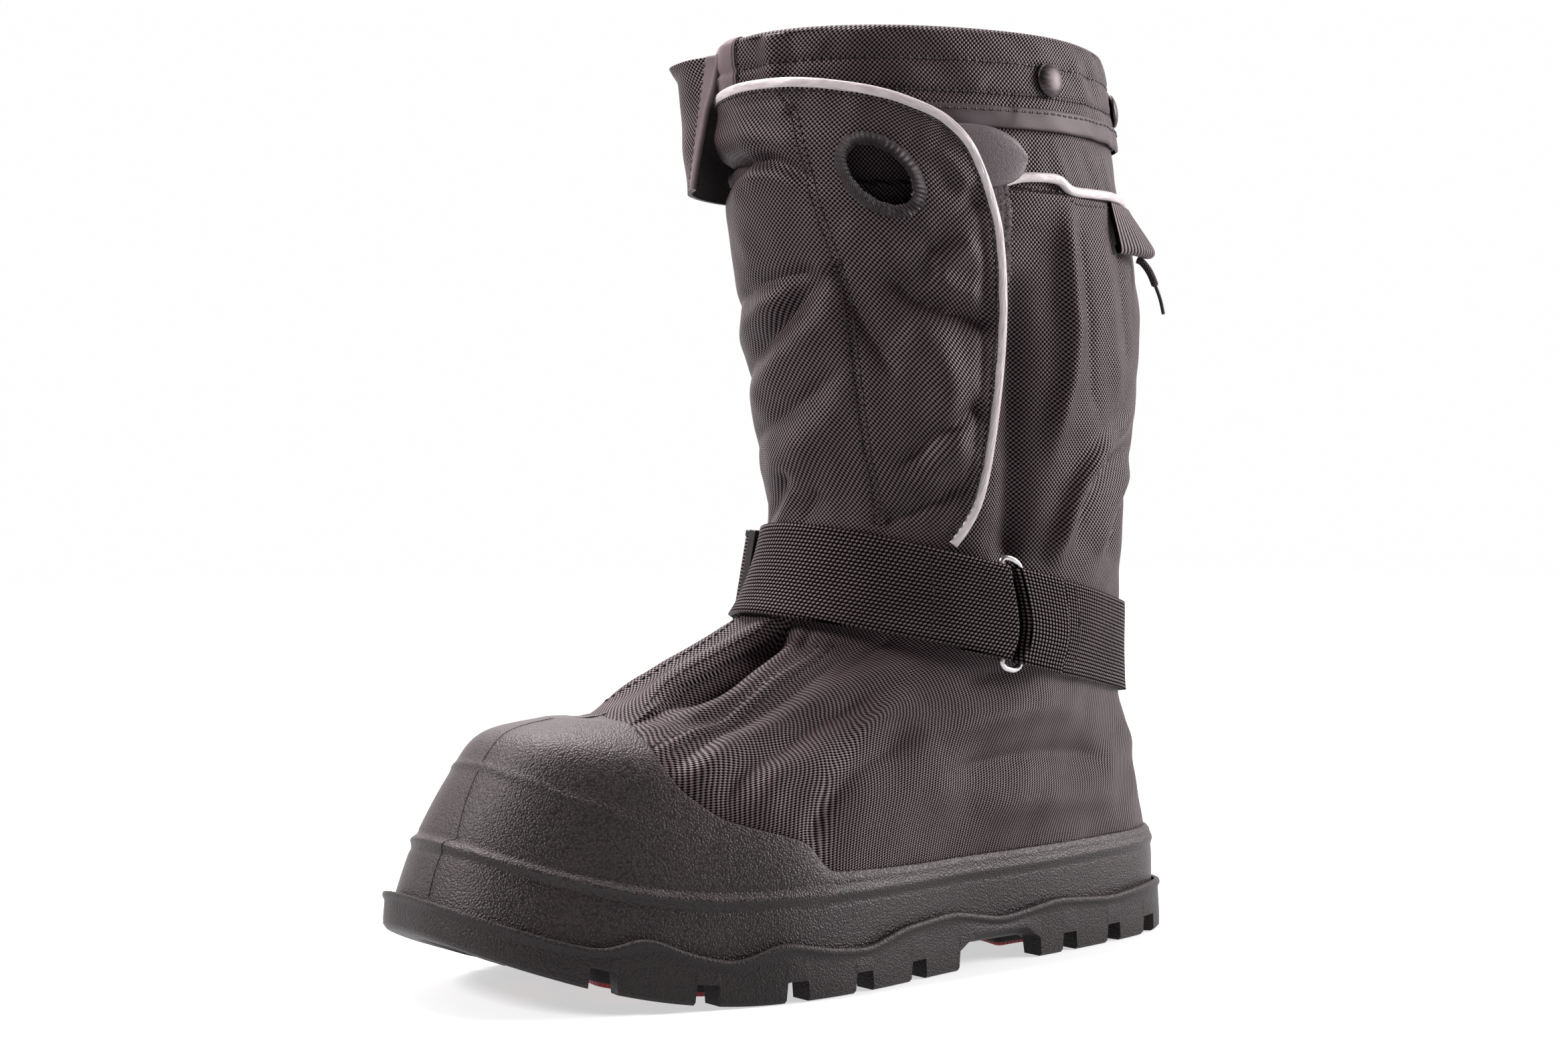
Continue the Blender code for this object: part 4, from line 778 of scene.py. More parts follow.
def woven(name, dark, light, cell, depth, rough, fuzz=0.25, aligned=False):
    """Woven cloth: the product of two sine waves lifts every second crossing, or, with their signs dropped,
    rows of blocks in line, or ribs when the second length is nought; fibres and wear vary it. Colour and
    specular level follow the lift, so the gaps between crossings carry painted shade, darker and without
    shine."""
    material, tree, shader = finish_base(name, light, rough)
    places, u, v = cloth_place(tree)
    across = sums(tree, "SINE", sums(tree, "MULTIPLY", u, math.pi / cell[0]))
    upward = sums(tree, "SINE", sums(tree, "MULTIPLY", v, math.pi / cell[1])) if cell[1] else None
    if upward is None:
        crossing = sums(tree, "ABSOLUTE", across)
    elif aligned:
        crossing = sums(tree, "MULTIPLY", sums(tree, "ABSOLUTE", across), sums(tree, "ABSOLUTE", upward))
    else:
        crossing = sums(tree, "MULTIPLY_ADD", sums(tree, "MULTIPLY", across, upward), 0.5)
        crossing.node.inputs[2].default_value = 0.5
    fibres = noise(tree, made(tree, "ShaderNodeMapping",
                              {"Vector": places, "Scale": (2.2, 2.2, 1)}).outputs[0], 1.0)
    mottle = noise(tree, object_place(tree), 55.0, 3.0)
    height = sums(tree, "ADD", crossing, sums(tree, "MULTIPLY", fibres, fuzz))
    # Painted shade: the low gaps of the weave turn to the dark colour and lose their specular
    lifted = stretch(tree, height, *WEAVE_SPAN)
    tree.links.new(stretch(tree, height, *WEAVE_SPAN, 0.0, WEAVE_SHINE),
                   shader.inputs["Specular IOR Level"])
    colour = blend_colour(tree, lifted, dark, light)
    shade = stretch(tree, mottle, 0.25, 0.75, 0.82, 1.15)
    tone = made(tree, "ShaderNodeCombineXYZ", {0: shade, 1: shade, 2: shade}).outputs[0]
    tree.links.new(blend_colour(tree, 1.0, colour, tone, "MULTIPLY"), shader.inputs["Base Color"])
    bump(tree, shader, height, depth)
    return material


def pebbled(name, dark, light, grain, depth, rough, shine):
    """Moulded rubber: rounded cells of grain with finer noise between, the colour painted lighter on the
    grain's tops and darker in its hollows as light and shade, over a random mottle.
    """
    material, tree, shader = finish_base(name, light, rough, specular=shine)
    spot = object_place(tree)
    cells = made(tree, "ShaderNodeTexVoronoi", {"Vector": spot, "Scale": 1000.0 / grain},
                 feature="SMOOTH_F1")
    cells.inputs["Smoothness"].default_value = 0.6
    rounded = stretch(tree, cells.outputs["Distance"], 0.1, 0.75, 1.0, 0.0)
    fine = noise(tree, spot, 1600.0 / grain, 2.0)
    height = sums(tree, "ADD", rounded, sums(tree, "MULTIPLY", fine, 0.3))
    mottle = noise(tree, spot, 38.0, 3.0)
    # Painted light and shade: the grain's height lightens its tops and darkens its hollows; the mottle is
    # random tone
    amount = sums(tree, "ADD", sums(tree, "MULTIPLY", height, 0.45), sums(tree, "MULTIPLY", mottle, 0.35))
    tint(tree, shader, amount, (0.2, 1.0), dark, light)
    bump(tree, shader, height, depth)
    return material


def red_tread(name):
    """Red rubber with a chevron of fine grooves, from a saw of x shifted by a zigzag of y."""
    material, tree, shader = finish_base(name, (0.3, 0.014, 0.02), 0.5)
    parts = made(tree, "ShaderNodeSeparateXYZ", {0: object_place(tree, (1000, 1000, 1000))})
    zigzag = sums(tree, "PINGPONG", parts.outputs[1], 4.0)
    groove = sums(tree, "SINE", sums(tree, "MULTIPLY", sums(tree, "ADD", parts.outputs[0], zigzag),
                                     2 * math.pi / 2.4))
    mottle = noise(tree, object_place(tree), 120.0, 3.0)
    amount = sums(tree, "ADD", sums(tree, "MULTIPLY", groove, 0.3), mottle)
    tint(tree, shader, amount, (0.1, 0.9), (0.19, 0.008, 0.013), (0.32, 0.018, 0.027))
    bump(tree, shader, groove, 0.35)
    return material


def reflective_tape(name):
    """Pale reflective cloth with faint slanting wrinkles."""
    material, tree, shader = finish_base(name, (0.33, 0.3, 0.305), 0.45)
    places = cloth_place(tree)[0]
    slant = made(tree, "ShaderNodeMapping", {"Vector": places, "Rotation": (0, 0, 0.6),
                                             "Scale": (0.16, 0.7, 1)})
    wrinkles = noise(tree, slant.outputs[0], 1.0, 3.0)
    tint(tree, shader, wrinkles, (0.3, 0.7), (0.26, 0.235, 0.24), (0.36, 0.33, 0.335))
    bump(tree, shader, wrinkles, 0.5)
    return material


def satin_thread(name, colour, pitch, depth):
    """Close rows of thread across the piece, with a little shine; the grooves between the rows are painted
    darker as shade.
    """
    material, tree, shader = finish_base(name, colour, 0.5, specular=0.3)
    places, u = cloth_place(tree)[:2]
    ridge = sums(tree, "SINE", sums(tree, "MULTIPLY", u, 2 * math.pi / pitch))
    loose = noise(tree, places, 1.3, 2.0)
    height = sums(tree, "ADD", ridge, sums(tree, "MULTIPLY", loose, 1.2))
    # Painted shade for the grooves between the threads: a fifth of the thread's colour
    dark = tuple(0.2 * part for part in colour)
    tint(tree, shader, height, (-0.6, 1.6), dark, colour)
    bump(tree, shader, height, depth)
    return material


def grained(name, dark, light, rough, grain, depth):
    """Fine leather-like grain: small cells, stretched a little, over soft mottling."""
    material, tree, shader = finish_base(name, light, rough)
    spot = object_place(tree, (1, 1, 1.6))
    cells = made(tree, "ShaderNodeTexVoronoi", {"Vector": spot, "Scale": 1000.0 / grain}, feature="F1")
    fine = noise(tree, spot, 900.0, 3.0)
    height = sums(tree, "ADD", cells.outputs["Distance"], fine)
    tint(tree, shader, height, (0.4, 1.3), dark, light)
    bump(tree, shader, height, depth)
    return material


def metal(name, dark, light, rough):
    """Plated metal with faint brushing."""
    material, tree, shader = finish_base(name, light, rough, metallic=1.0)
    brushed = noise(tree, object_place(tree, (1, 1, 6)), 260.0, 3.0)
    tint(tree, shader, brushed, (0.3, 0.7), dark, light)
    tree.links.new(stretch(tree, brushed, 0.3, 0.7, rough - 0.05, rough + 0.08), shader.inputs["Roughness"])
    bump(tree, shader, brushed, 0.02)
    return material


def fuzzy(name, dark, light, scale, depth):
    """Napped cloth: coarse and fine noise, light at the hair tips."""
    material, tree, shader = finish_base(name, dark, 0.95, specular=0.2)
    spot = object_place(tree)
    coarse = noise(tree, spot, scale, 4.0, 0.75)
    fine = noise(tree, spot, scale * 3.1, 2.0)
    height = sums(tree, "ADD", coarse, sums(tree, "MULTIPLY", fine, 0.6))
    tint(tree, shader, height, (0.62, 1.1), dark, light)
    bump(tree, shader, height, depth)
    return material


# Dark colours of the woven finishes are painted shade for the gaps between yarns; light colours are the
# yarns' own
NYLON = woven("nylon_basket_weave", (0.0010, 0.0007, 0.0007), (0.076, 0.056, 0.0595), (0.92, 0.92), 0.25,
              0.46, 0.10)
LINING = fuzzy("lining_fleece", (0.005, 0.004, 0.004), (0.025, 0.020, 0.021), 900.0, 0.5)
WEBBING = woven("strap_webbing", (0.0012, 0.0009, 0.0009), (0.068, 0.051, 0.053), (1.75, 1.5), 0.30, 0.55,
                0.06, aligned=True)
GROSGRAIN = woven("loop_grosgrain", (0.003, 0.002, 0.002), (0.060, 0.046, 0.048), (2.6, 0.0), 0.5, 0.6,
                  0.15, aligned=True)
TAPE = woven("binding_tape", (0.020, 0.015, 0.016), (0.066, 0.051, 0.055), (0.30, 0.30), 0.04, 0.5)
# Lighter copy of the binding tape: the same cloth with its colour painted lighter to stand in for light on
# bound edges
LIT_TAPE_COPY = woven("binding_tape_lit_copy", (0.050, 0.039, 0.041), (0.125, 0.098, 0.104), (0.30, 0.30), 0.03, 0.45)
# Pebbled rubbers: their dark colours are painted shade in the grain's hollows
RUBBER = pebbled("toe_cap_rubber", (0.003, 0.0021, 0.0021), (0.027, 0.0187, 0.0194), 0.72, 0.19, 0.48, 0.3)
SOLE_RUBBER = pebbled("outsole_rubber", (0.0025, 0.0017, 0.0017), (0.019, 0.0133, 0.0138), 0.72, 0.16, 0.54,
                      0.26)
RED_RUBBER = red_tread("red_tread_rubber")
PIPING = reflective_tape("reflective_piping")
# Thread finishes: the darker grooves between threads are painted shade
SATIN = satin_thread("satin_stitch", (0.034, 0.026, 0.029), 1.35, 0.38)
THREAD = satin_thread("sewing_thread", (0.010, 0.0075, 0.0075), 0.7, 0.16)
LEATHERETTE = grained("pull_tab_leatherette", (0.022, 0.017, 0.019), (0.055, 0.044, 0.049), 0.50, 0.62,
                      0.08)
GUNMETAL = metal("snap_gunmetal", (0.020, 0.017, 0.0175), (0.050, 0.044, 0.046), 0.42)
STEEL = metal("ring_steel", (0.30, 0.29, 0.29), (0.46, 0.45, 0.45), 0.28)
# Pebbled plastic: its dark colour is painted shade in the grain's hollows
PLASTIC = pebbled("buckle_plastic", (0.006, 0.005, 0.005), (0.018, 0.015, 0.0155), 1.6, 0.03, 0.40, 0.4)
CORD = woven("cord_braid", (0.004, 0.003, 0.003), (0.050, 0.040, 0.042), (0.55, 0.55), 0.22, 0.65)
HOOK = fuzzy("hook_strip_nap", (0.003, 0.0025, 0.0025), (0.150, 0.130, 0.135), 540.0, 0.6)
FELT = fuzzy("insole_felt", (0.018, 0.017, 0.018), (0.055, 0.052, 0.054), 700.0, 0.4)


# Upper
def strap_height(angle_deg):
    """Middle height of the slanted instep strap."""
    return STRAP_MIDDLE + STRAP_RISE * np.cos(np.radians(angle_deg))


def galosh_top(angle):
    """Section level of the galosh's upper edge at an angle in radians, rounded between its stations."""
    folded = np.degrees(np.abs((angle + np.pi) % (2 * np.pi) - np.pi))
    stations = np.linspace(0, 180, 721)
    levels = between(GALOSH_TOP, stations)
    padded = np.concatenate((levels[12:0:-1], levels, levels[-2:-14:-1]))
    bell = np.exp(-(np.arange(-12, 13) / 6.0)**2)
    return np.interp(folded, stations, np.convolve(padded, bell / bell.sum(), "valid"))


UPPER_CURVES = fold_curves(UPPER_FOLDS, -GAP)


def tongue_ledge(angle_deg, height):
    """Tongue panel that stands off the vamp beside it: a step at its lateral edge and at the mirrored
    medial one."""
    edge = between(VAMP_EDGE, height, key=1)
    inside = ease(edge + 0.7, edge - 0.5, np.abs(angle_deg))
    return TONGUE_STEP * inside * ease(96, 101, height) * ease(142, 136, height)


def upper_relief(points, angle_deg, height):
    """Folds and ripples of the upper, kept down under the strap and under the flap."""
    turned = (angle_deg + 180) % 360 - 180
    raised = relief(points, UPPER_CURVES) + ripples(points, 0.35, 22.0, 11)
    under_strap = np.exp(-((height - strap_height(turned)) / 20)**6)
    raised = np.where(raised > 0, raised * (1 - under_strap), raised * (1 - 0.7 * under_strap))
    side = between(FLAP_SIDE, height, key=1)
    under_flap = ease(-104, -100, turned) * ease(side + 2, side - 2, turned) * ease(148, 156, height)
    raised = np.where(raised > 0, raised * (1 - under_flap), raised * (1 - 0.5 * under_flap))
    hidden = ease(314, 324, height)
    sunk = -4.5 * ease(-92, -80, turned) * ease(side - 2, side - 9, turned) * ease(158, 172, height)
    return (raised + sunk) * (1 - hidden) + tongue_ledge(turned, height)


def upper_skin(angle_deg, height):
    """Points and normals on the folded upper."""
    flat = place(angle_deg, height, -GAP)
    normal = normal_at(angle_deg, height)
    raised = upper_relief(flat, np.asarray(angle_deg, float), np.asarray(height, float))
    return flat + raised[:, None] * normal, normal


def build_upper():
    """Boot-shaped cloth from under the galosh to the collar, folded by listed creases, and its lining."""
    columns, rows = 480, 200
    even = np.linspace(-180, 180, 3601)
    crowd = np.cumsum(1 + 2.2 * np.exp(-((even - 28) / 30)**2))
    angle = np.radians(np.interp(np.arange(columns) / columns, (crowd - crowd[0]) / (crowd[-1] - crowd[0]),
                                 even))
    reach = np.concatenate(((0,), np.cumsum(LEVEL_SPANS)))
    steps = np.arange(len(reach))
    low = np.interp(galosh_top(angle) - 0.16, steps, reach)
    high = np.interp(COLLAR_LEVEL, steps, reach)
    share = np.linspace(0, 1, rows)[:, None]
    level = np.interp(low[None, :] + (high - low[None, :]) * share, reach, steps)
    turn = np.broadcast_to(angle, level.shape)
    normal = outward(level, turn)
    flat = last_form(level, turn)
    base = flat - (GAP + PANEL_STEP * ease(STEP_LEVEL - 0.012, STEP_LEVEL + 0.012, level))[...,
                                                                                           None] * normal
    moved = base + upper_relief(base, np.degrees(turn), flat[..., 2])[..., None] * normal
    upper = grid_piece("upper", moved, NYLON, around=True, origin=int(np.argmin(np.abs(angle))),
                       base=base)
    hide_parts("upper_vamp", "upper_quarters", "upper_shaft")
    angle = np.linspace(-np.pi, np.pi, 120, endpoint=False)
    level = np.linspace(0.06, COLLAR_LEVEL, 70)[:, None] + 0 * angle[None, :]
    turn = np.broadcast_to(angle, level.shape)
    wall = UPPER_WALL + GAP + PANEL_STEP * ease(STEP_LEVEL - 0.02, STEP_LEVEL + 0.02, level)
    lining_grid = skin(level, turn, -wall)
    inside = -np.abs(np.minimum(upper_relief(lining_grid, np.degrees(turn), lining_grid[..., 2]), 0))
    lining_grid = lining_grid + inside[..., None] * outward(level, turn)
    lining = grid_piece("upper_lining", lining_grid, LINING, around=True, flip=True)
    for rows_of, apart in ((VAMP_EDGE, (-4.0,)), (VAMP_SEAM, (-2.2, 2.2))):
        for sign in (1, -1):
            for across in apart:
                row = drawn(rows_of) * np.array((sign, 1.0))
                line, up = upper_skin(row[:, 0] + sign * across, row[:, 1])
                stitch_row(line, up)


GALOSH_CURVES = fold_curves(GALOSH_FOLDS, GALOSH_WALL)


def galosh_wall(level, angle):
    """Thickness of the galosh: thinning to its upper edge, with a bead and two faint grooves at the
    feather line."""
    top = galosh_top(angle)
    share = np.clip((level - 1.08) / (top - 1.08), 0, 1)
    bead = (level - BEAD_LEVEL) / BEAD_HALF
    wall = GALOSH_WALL - (GALOSH_WALL - GALOSH_EDGE) * share**2
    strength = 0.5 + 0.5 * ease(-0.1, 0.75, np.cos(angle))
    grooves = 0.3 * np.exp(-(np.abs(bead) - 2.1)**2 / 0.4)
    return wall + strength * (BEAD_HEIGHT * np.exp(-bead**2 / 1.2) - grooves)


def build_galosh():
    """Toe cap and foxing: the last's skin pushed out by the wall, its upper edge rolled in to the cloth."""
    columns, rows = 420, 110
    angle = np.linspace(-np.pi, np.pi, columns, endpoint=False)
    top = galosh_top(angle)
    share = np.linspace(0, 1, rows)[:, None]
    level = 0.1 + (top[None, :] - 0.1) * (0.35 * share + 0.65 * share**1.25)
    turn = np.broadcast_to(angle, level.shape)
    wall = galosh_wall(level, turn)
    extra_level = np.array((0.012, 0.022, 0.026, 0.026))[:, None] + top[None, :]
    extra_wall = np.array((0.92, 0.62, 0.2, -0.6))[:, None] * GALOSH_EDGE + 0 * top[None, :]
    level = np.concatenate((level, extra_level))
    wall = np.concatenate((wall, extra_wall))
    turn = np.broadcast_to(angle, level.shape)
    normal = outward(level, turn)
    base = last_form(level, turn) + wall[..., None] * normal
    raised = relief(base, GALOSH_CURVES)
    raised[rows:] = 0
    galosh = grid_piece("galosh_moulding", base + raised[..., None] * normal, RUBBER, around=True)
    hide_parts("galosh")
    row = drawn(MOULD_LINE, 8)
    turn = np.radians(row[:, 0])
    level = level_at(turn, row[:, 1])
    spot = skin(level, turn, galosh_wall(level, turn))
    line = sweep("toe_mould_line", spot, outward(level, turn), round_profile(0.42, 0.3, 8), RUBBER)


# Sole
def sole_stations():
    """Angles and kinds of the outsole's stations from toe to heel on one side."""
    half = SECTIONS[0][0]
    rows = [(math.radians(a), "nick" if a in NICK_ANGLES else "bumper") for a in TOE_BUMPER_ANGLES]

    def at(x):
        """Angle whose cosine is x over the feather line's half length."""
        return math.acos(x / half)

    rows.append((at(LUGS[0][0] + NOTCH_HALF + DRAFT), "bumper"))
    rows.append((at(LUGS[0][0] + NOTCH_HALF), "notch"))
    for number, (front, back) in enumerate(LUGS):
        if number == FOREFOOT_LUGS:
            rows += [(at(x), "arch") for x in ARCH_STATIONS]
        rows.append((at(front - NOTCH_HALF), "notch"))
        rows.append((at(front - NOTCH_HALF - DRAFT), "lug_end"))
        rows.append((at((front + back) / 2), "lug_middle"))
        rows.append((at(back + NOTCH_HALF + DRAFT), "lug_end"))
        rows.append((at(back + NOTCH_HALF), "notch"))
    rows.append((at(LUGS[-1][1] - NOTCH_HALF), "notch"))
    rows.append((at(LUGS[-1][1] - NOTCH_HALF - DRAFT), "bumper"))
    rows += [(math.radians(a), "nick" if a in NICK_ANGLES else "bumper") for a in HEEL_BUMPER_ANGLES]
    return rows


def plan_normal(angle):
    """Outward normal of the feather outline in plan."""
    turn = last_form(0.0, angle + 0.01) - last_form(0.0, angle - 0.01)
    return unit(np.stack((turn[..., 1], -turn[..., 0]), axis=-1))


def rim_height(x):
    """Wavy rim of the outsole: its stations joined and smoothed over a few millimetres."""
    fine = np.arange(-200, 201, 1.0)
    heights = between(RIM, fine)
    bell = np.exp(-(np.arange(-16, 17) / 5.5)**2)
    smooth = np.convolve(np.pad(heights, 16, mode="edge"), bell / bell.sum(), "valid")
    return np.interp(x, fine, smooth)


def build_outsole():
    """Cup sole: rings from the lip over the rim bead, down the wall and in under the lugs, bumpers and
    arch."""
    stations = sole_stations()
    marks = np.array([angle for angle, kind in stations])
    fine = np.unique(np.round(np.concatenate((marks, np.linspace(0, np.pi, 330))), 6))
    angles = np.concatenate((fine, 2 * np.pi - fine[-2:0:-1]))
    folded = np.where(angles > np.pi, 2 * np.pi - angles, angles)
    normal = plan_normal(angles)
    outline = last_form(0.0, angles)[:, :2] + SOLE_MARGIN * normal
    spine = np.stack((np.clip(outline[:, 0], SPINE_HEEL, SPINE_TOE), 0 * angles), axis=-1)
    share = spine[:, 0] / (2 * SECTIONS[0][0]) + 0.5
    spine[:, 1] = along(CENTRE_LINE, share * (len(CENTRE_LINE) - 1))[:, 0]
    inward = unit(spine - outline)
    rim = rim_height(outline[:, 0])
    under = [np.interp(folded, marks, [BOTTOM[kind][number] for angle, kind in stations])
             for number in range(len(RING_INSET))]

    def ring(plan, height):
        """Ring of plan points at heights over the sprung floor."""
        return np.column_stack((plan, height + spring(plan[:, 0])))

    rings = [ring(outline - LIP_WALL * normal, np.full(len(angles), SLAB_TOP))]
    for out, drop in RIM_BEAD:
        rings.append(ring(outline + out * normal, rim - drop))
    last_out, last_drop = RIM_BEAD[-1]
    wall_top = rim - last_drop
    for part in np.linspace(0.12, 1, 8):
        bulge = last_out - last_out * ease(0, 0.8, part)
        rings.append(ring(outline + bulge * normal, wall_top + (under[0] - wall_top) * part))
    for number, inset in enumerate(RING_INSET[1:], start=1):
        rings.append(ring(outline + inset * inward, under[number]))
    grid = np.stack(rings)
    rows, columns = grid.shape[:2]
    quads = grid_quads(rows, columns, True)[0]
    half = columns // 2
    caps, tips = [], []
    for start, flip in ((0, 1), ((rows - 1) * columns, -1)):
        j = np.arange(1, half - 1)
        cap = np.stack((start + j, start + j + 1, start + columns - j - 1, start + columns - j), axis=1)
        caps.append(cap[:, ::flip])
        tip = ((start, start + 1, start + columns - 1), (start + half - 1, start + half, start + half + 1))
        tips.append(np.array(tip)[:, ::flip])
    outsole = mesh_piece("outsole_moulding", grid, np.concatenate((quads[:, ::-1], *caps)), SOLE_RUBBER,
                         triangles=np.concatenate(tips), sharp=35)
    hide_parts("outsole")


def rounded(corners, radius, steps=7):
    """Polygon with each corner replaced by a bent arc between its two sides."""
    corners = np.array(corners, dtype=float)
    before = np.roll(corners, 1, axis=0) - corners
    after = np.roll(corners, -1, axis=0) - corners
    to_before, to_after = unit(before), unit(after)
    reach = np.minimum(radius, 0.45 * np.minimum(np.linalg.norm(before, axis=1),
                                                 np.linalg.norm(after, axis=1)))
    t = np.linspace(0, 1, steps)[None, :, None]
    start = (corners + reach[:, None] * to_before)[:, None]
    end = (corners + reach[:, None] * to_after)[:, None]
    return ((1 - t)**2 * start + 2 * t * (1 - t) * corners[:, None] + t**2 * end).reshape(-1, 2)


def build_inserts():
    """Red tread blocks: rings from the floor of the tread down their drafted sides and in across the face,
    with
    a dark raised rim of the outsole round each."""
    points, quads, rim_points, rim_quads = [], [], [], []
    start = rim_start = 0
    for corners in INSERTS:
        outline = rounded(corners, CORNER_RADIUS)
        sides = np.roll(outline, -1, axis=0) - outline
        fine = (outline[:, None] + np.linspace(0, 1, 3, endpoint=False)[None, :, None]
                * sides[:, None]).reshape(-1, 2)
        middle = fine.mean(axis=0)
        away = fine - middle
        reach = np.linalg.norm(away, axis=1, keepdims=True)
        rings = []
        for inset, height in INSERT_SIDE:
            rings.append(np.column_stack((fine - away / reach * inset, np.full(len(fine), height))))
        for share in (0.75, 0.5, 0.25, 0.02):
            rings.append(np.column_stack((middle + away * share * (1 - INSERT_SIDE[-1][0] / reach),
                                          np.zeros(len(fine)))))
        grid = np.stack(rings)
        points.append(grid.reshape(-1, 3))
        quads.append(start + grid_quads(len(rings), len(fine), True)[0])
        start += len(points[-1])
        rings = []
        for out, height in INSERT_RIM:
            rings.append(np.column_stack((fine + away / reach * out, np.full(len(fine), height))))
        grid = np.stack(rings)
        rim_points.append(grid.reshape(-1, 3))
        rim_quads.append(rim_start + grid_quads(len(rings), len(fine), True)[0])
        rim_start += len(rim_points[-1])
    for name, where, faces, finish, slot in (("tread_inserts", points, quads, RED_RUBBER, "red_rubber"),
                                             ("tread_rims", rim_points, rim_quads, SOLE_RUBBER,
                                              "sole_rubber")):
        where = np.concatenate(where)
        where[:, 2] += spring(where[:, 0])
        flip = -1 if name == "tread_inserts" else 1
        piece = mesh_piece(name, where, np.concatenate(faces)[:, ::flip], finish)
        if name == "tread_inserts":
            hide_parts(*["tread_insert_%02d" % number for number in range(1, len(INSERTS) + 1)])


def build_insole():
    """Felt-topped foot bed: rings of the shrunken feather outline from its underside, over a rounded edge,
    in."""
    angles = np.linspace(0, 2 * np.pi, 160, endpoint=False)
    plan = last_form(0.0, angles)[:, :2]
    normal = plan_normal(angles)
    low = SLAB_TOP + GAP
    rings = []
    for inset, rise in ((1.0, 0.0), (0.0, 0.4), (0.0, 3.0), (0.4, 3.7), (1.4, INSOLE_THICKNESS)):
        edge = plan - (INSOLE_MARGIN + inset) * normal
        rings.append(np.column_stack((edge, low + rise + spring(edge[:, 0]))))
    spine = np.stack((np.clip(plan[:, 0], SPINE_HEEL, SPINE_TOE), 0 * angles), axis=-1)
    for share in (0.25, 0.5, 0.75, 0.98):
        inner = edge + (spine - edge) * share
        rings.append(np.column_stack((inner, low + INSOLE_THICKNESS + spring(inner[:, 0]))))
    insole = grid_piece("insole_bed", np.stack(rings), FELT, around=True)
    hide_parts("insole")


# Flap and its trim
def flap_offset(angle_deg, height):
    """Offset of the flap's inner face: sewn flat, then lifted, with a bulge round the hole."""
    angle_deg = np.asarray(angle_deg, float)
    height = np.asarray(height, float)
    free = 0.45 + 0.55 * ease(160, 195, height)
    lift = 0.4 + 2.2 * ease(-100, -40, angle_deg) * free + 0.8 * ease(300, 318, height)
    across = np.radians(angle_deg - HOLE_ANGLE) * HOLE_RADIUS
    distance = np.hypot(across, height - HOLE_HEIGHT)
    return lift + BULGE * np.exp(-(distance / BULGE_REACH)**2)


FLAP_CURVES = fold_curves(FLAP_FOLDS, 5.0)


def flap_skin(angle_deg, height, lift=0.0):
    """Points and normals on the folded outer face of the flap, kept flat under the strap and round the
    hole."""
    angle_deg, height = np.broadcast_arrays(np.asarray(angle_deg, float), np.asarray(height, float))
    angle = np.radians(angle_deg)
    level = level_at(angle, height)
    normal = outward(level, angle)
    flat = last_form(level, angle) + (flap_offset(angle_deg, height) + FLAP_WALL)[..., None] * normal
    raised = relief(flat, FLAP_CURVES) + ripples(flat, 0.4, 20.0, 5)
    calm = np.exp(-((height - strap_height(angle_deg)) / 19)**6)
    long_way, short_way = hole_turned(np.radians(angle_deg - HOLE_ANGLE) * HOLE_RADIUS,
                                      height - HOLE_HEIGHT)
    near_hole = np.exp(-((long_way / HOLE_CALM[0])**2 + (short_way / HOLE_CALM[1])**2)**2)
    raised = raised * (1 - 0.85 * calm) * (1 - 0.9 * near_hole)
    raised = raised * (1 - 0.6 * ease(4, -28, angle_deg) * ease(306, 292, height))
    return flat + (raised + lift)[..., None] * normal, normal


def flap_patch(across, upward):
    """Angle and height in the flap, as a Coons patch between its four edges."""
    across = np.asarray(across, float)[None, :, None]
    upward = np.asarray(upward, float)[:, None, None]
    top = along(FLAP_TOP, across[0, :, 0] * (len(FLAP_TOP) - 1))[None]
    free = along(FLAP_SIDE, upward[:, 0, 0] * (len(FLAP_SIDE) - 1))[:, None]
    low_left = np.array((FLAP_TOP[0][0], FLAP_BOTTOM), float)
    low_right = np.array(FLAP_SIDE[0], float)
    top_left = np.array(FLAP_TOP[0], float)
    top_right = np.array(FLAP_SIDE[-1], float)
    bottom = low_left * (1 - across) + low_right * across
    sewn = low_left * (1 - upward) + top_left * upward
    corners = ((1 - across) * (1 - upward) * low_left + across * (1 - upward) * low_right
               + (1 - across) * upward * top_left + across * upward * top_right)
    patch = (1 - upward) * bottom + upward * top + (1 - across) * sewn + across * free - corners
    return patch[..., 0], patch[..., 1]


def hole_turned(right_way, up_way):
    """Lengths along and across the tilted oval hole."""
    tilt = math.radians(HOLE_TILT)
    return (right_way * math.cos(tilt) + up_way * math.sin(tilt),
            up_way * math.cos(tilt) - right_way * math.sin(tilt))


def build_flap():
    """Curved panel over the front with its listed folds and the finger hole left open."""
    angle, height = flap_patch(np.linspace(0, 1, 230), np.linspace(0, 1, 160))
    grid = flap_skin(angle, height)[0]
    base = place(angle, height, 4.0)
    right, up, out = facing(HOLE_ANGLE, HOLE_HEIGHT)
    centre = place(HOLE_ANGLE, HOLE_HEIGHT, flap_offset(HOLE_ANGLE, HOLE_HEIGHT) + FLAP_WALL)
    cell = (grid[:-1, :-1] + grid[1:, 1:]) / 2 - centre
    long_way, short_way = hole_turned(cell @ right, cell @ up)
    oval = (long_way / (HOLE_LONG + HOLE_MARGIN))**2 + (short_way / (HOLE_SHORT + HOLE_MARGIN))**2
    inside = (oval < 1) & (cell @ out > -30)
    flap = grid_piece("front_flap_cloth", grid, NYLON, wall=FLAP_WALL, keep=~inside.ravel(), base=base)
    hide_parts("front_flap")


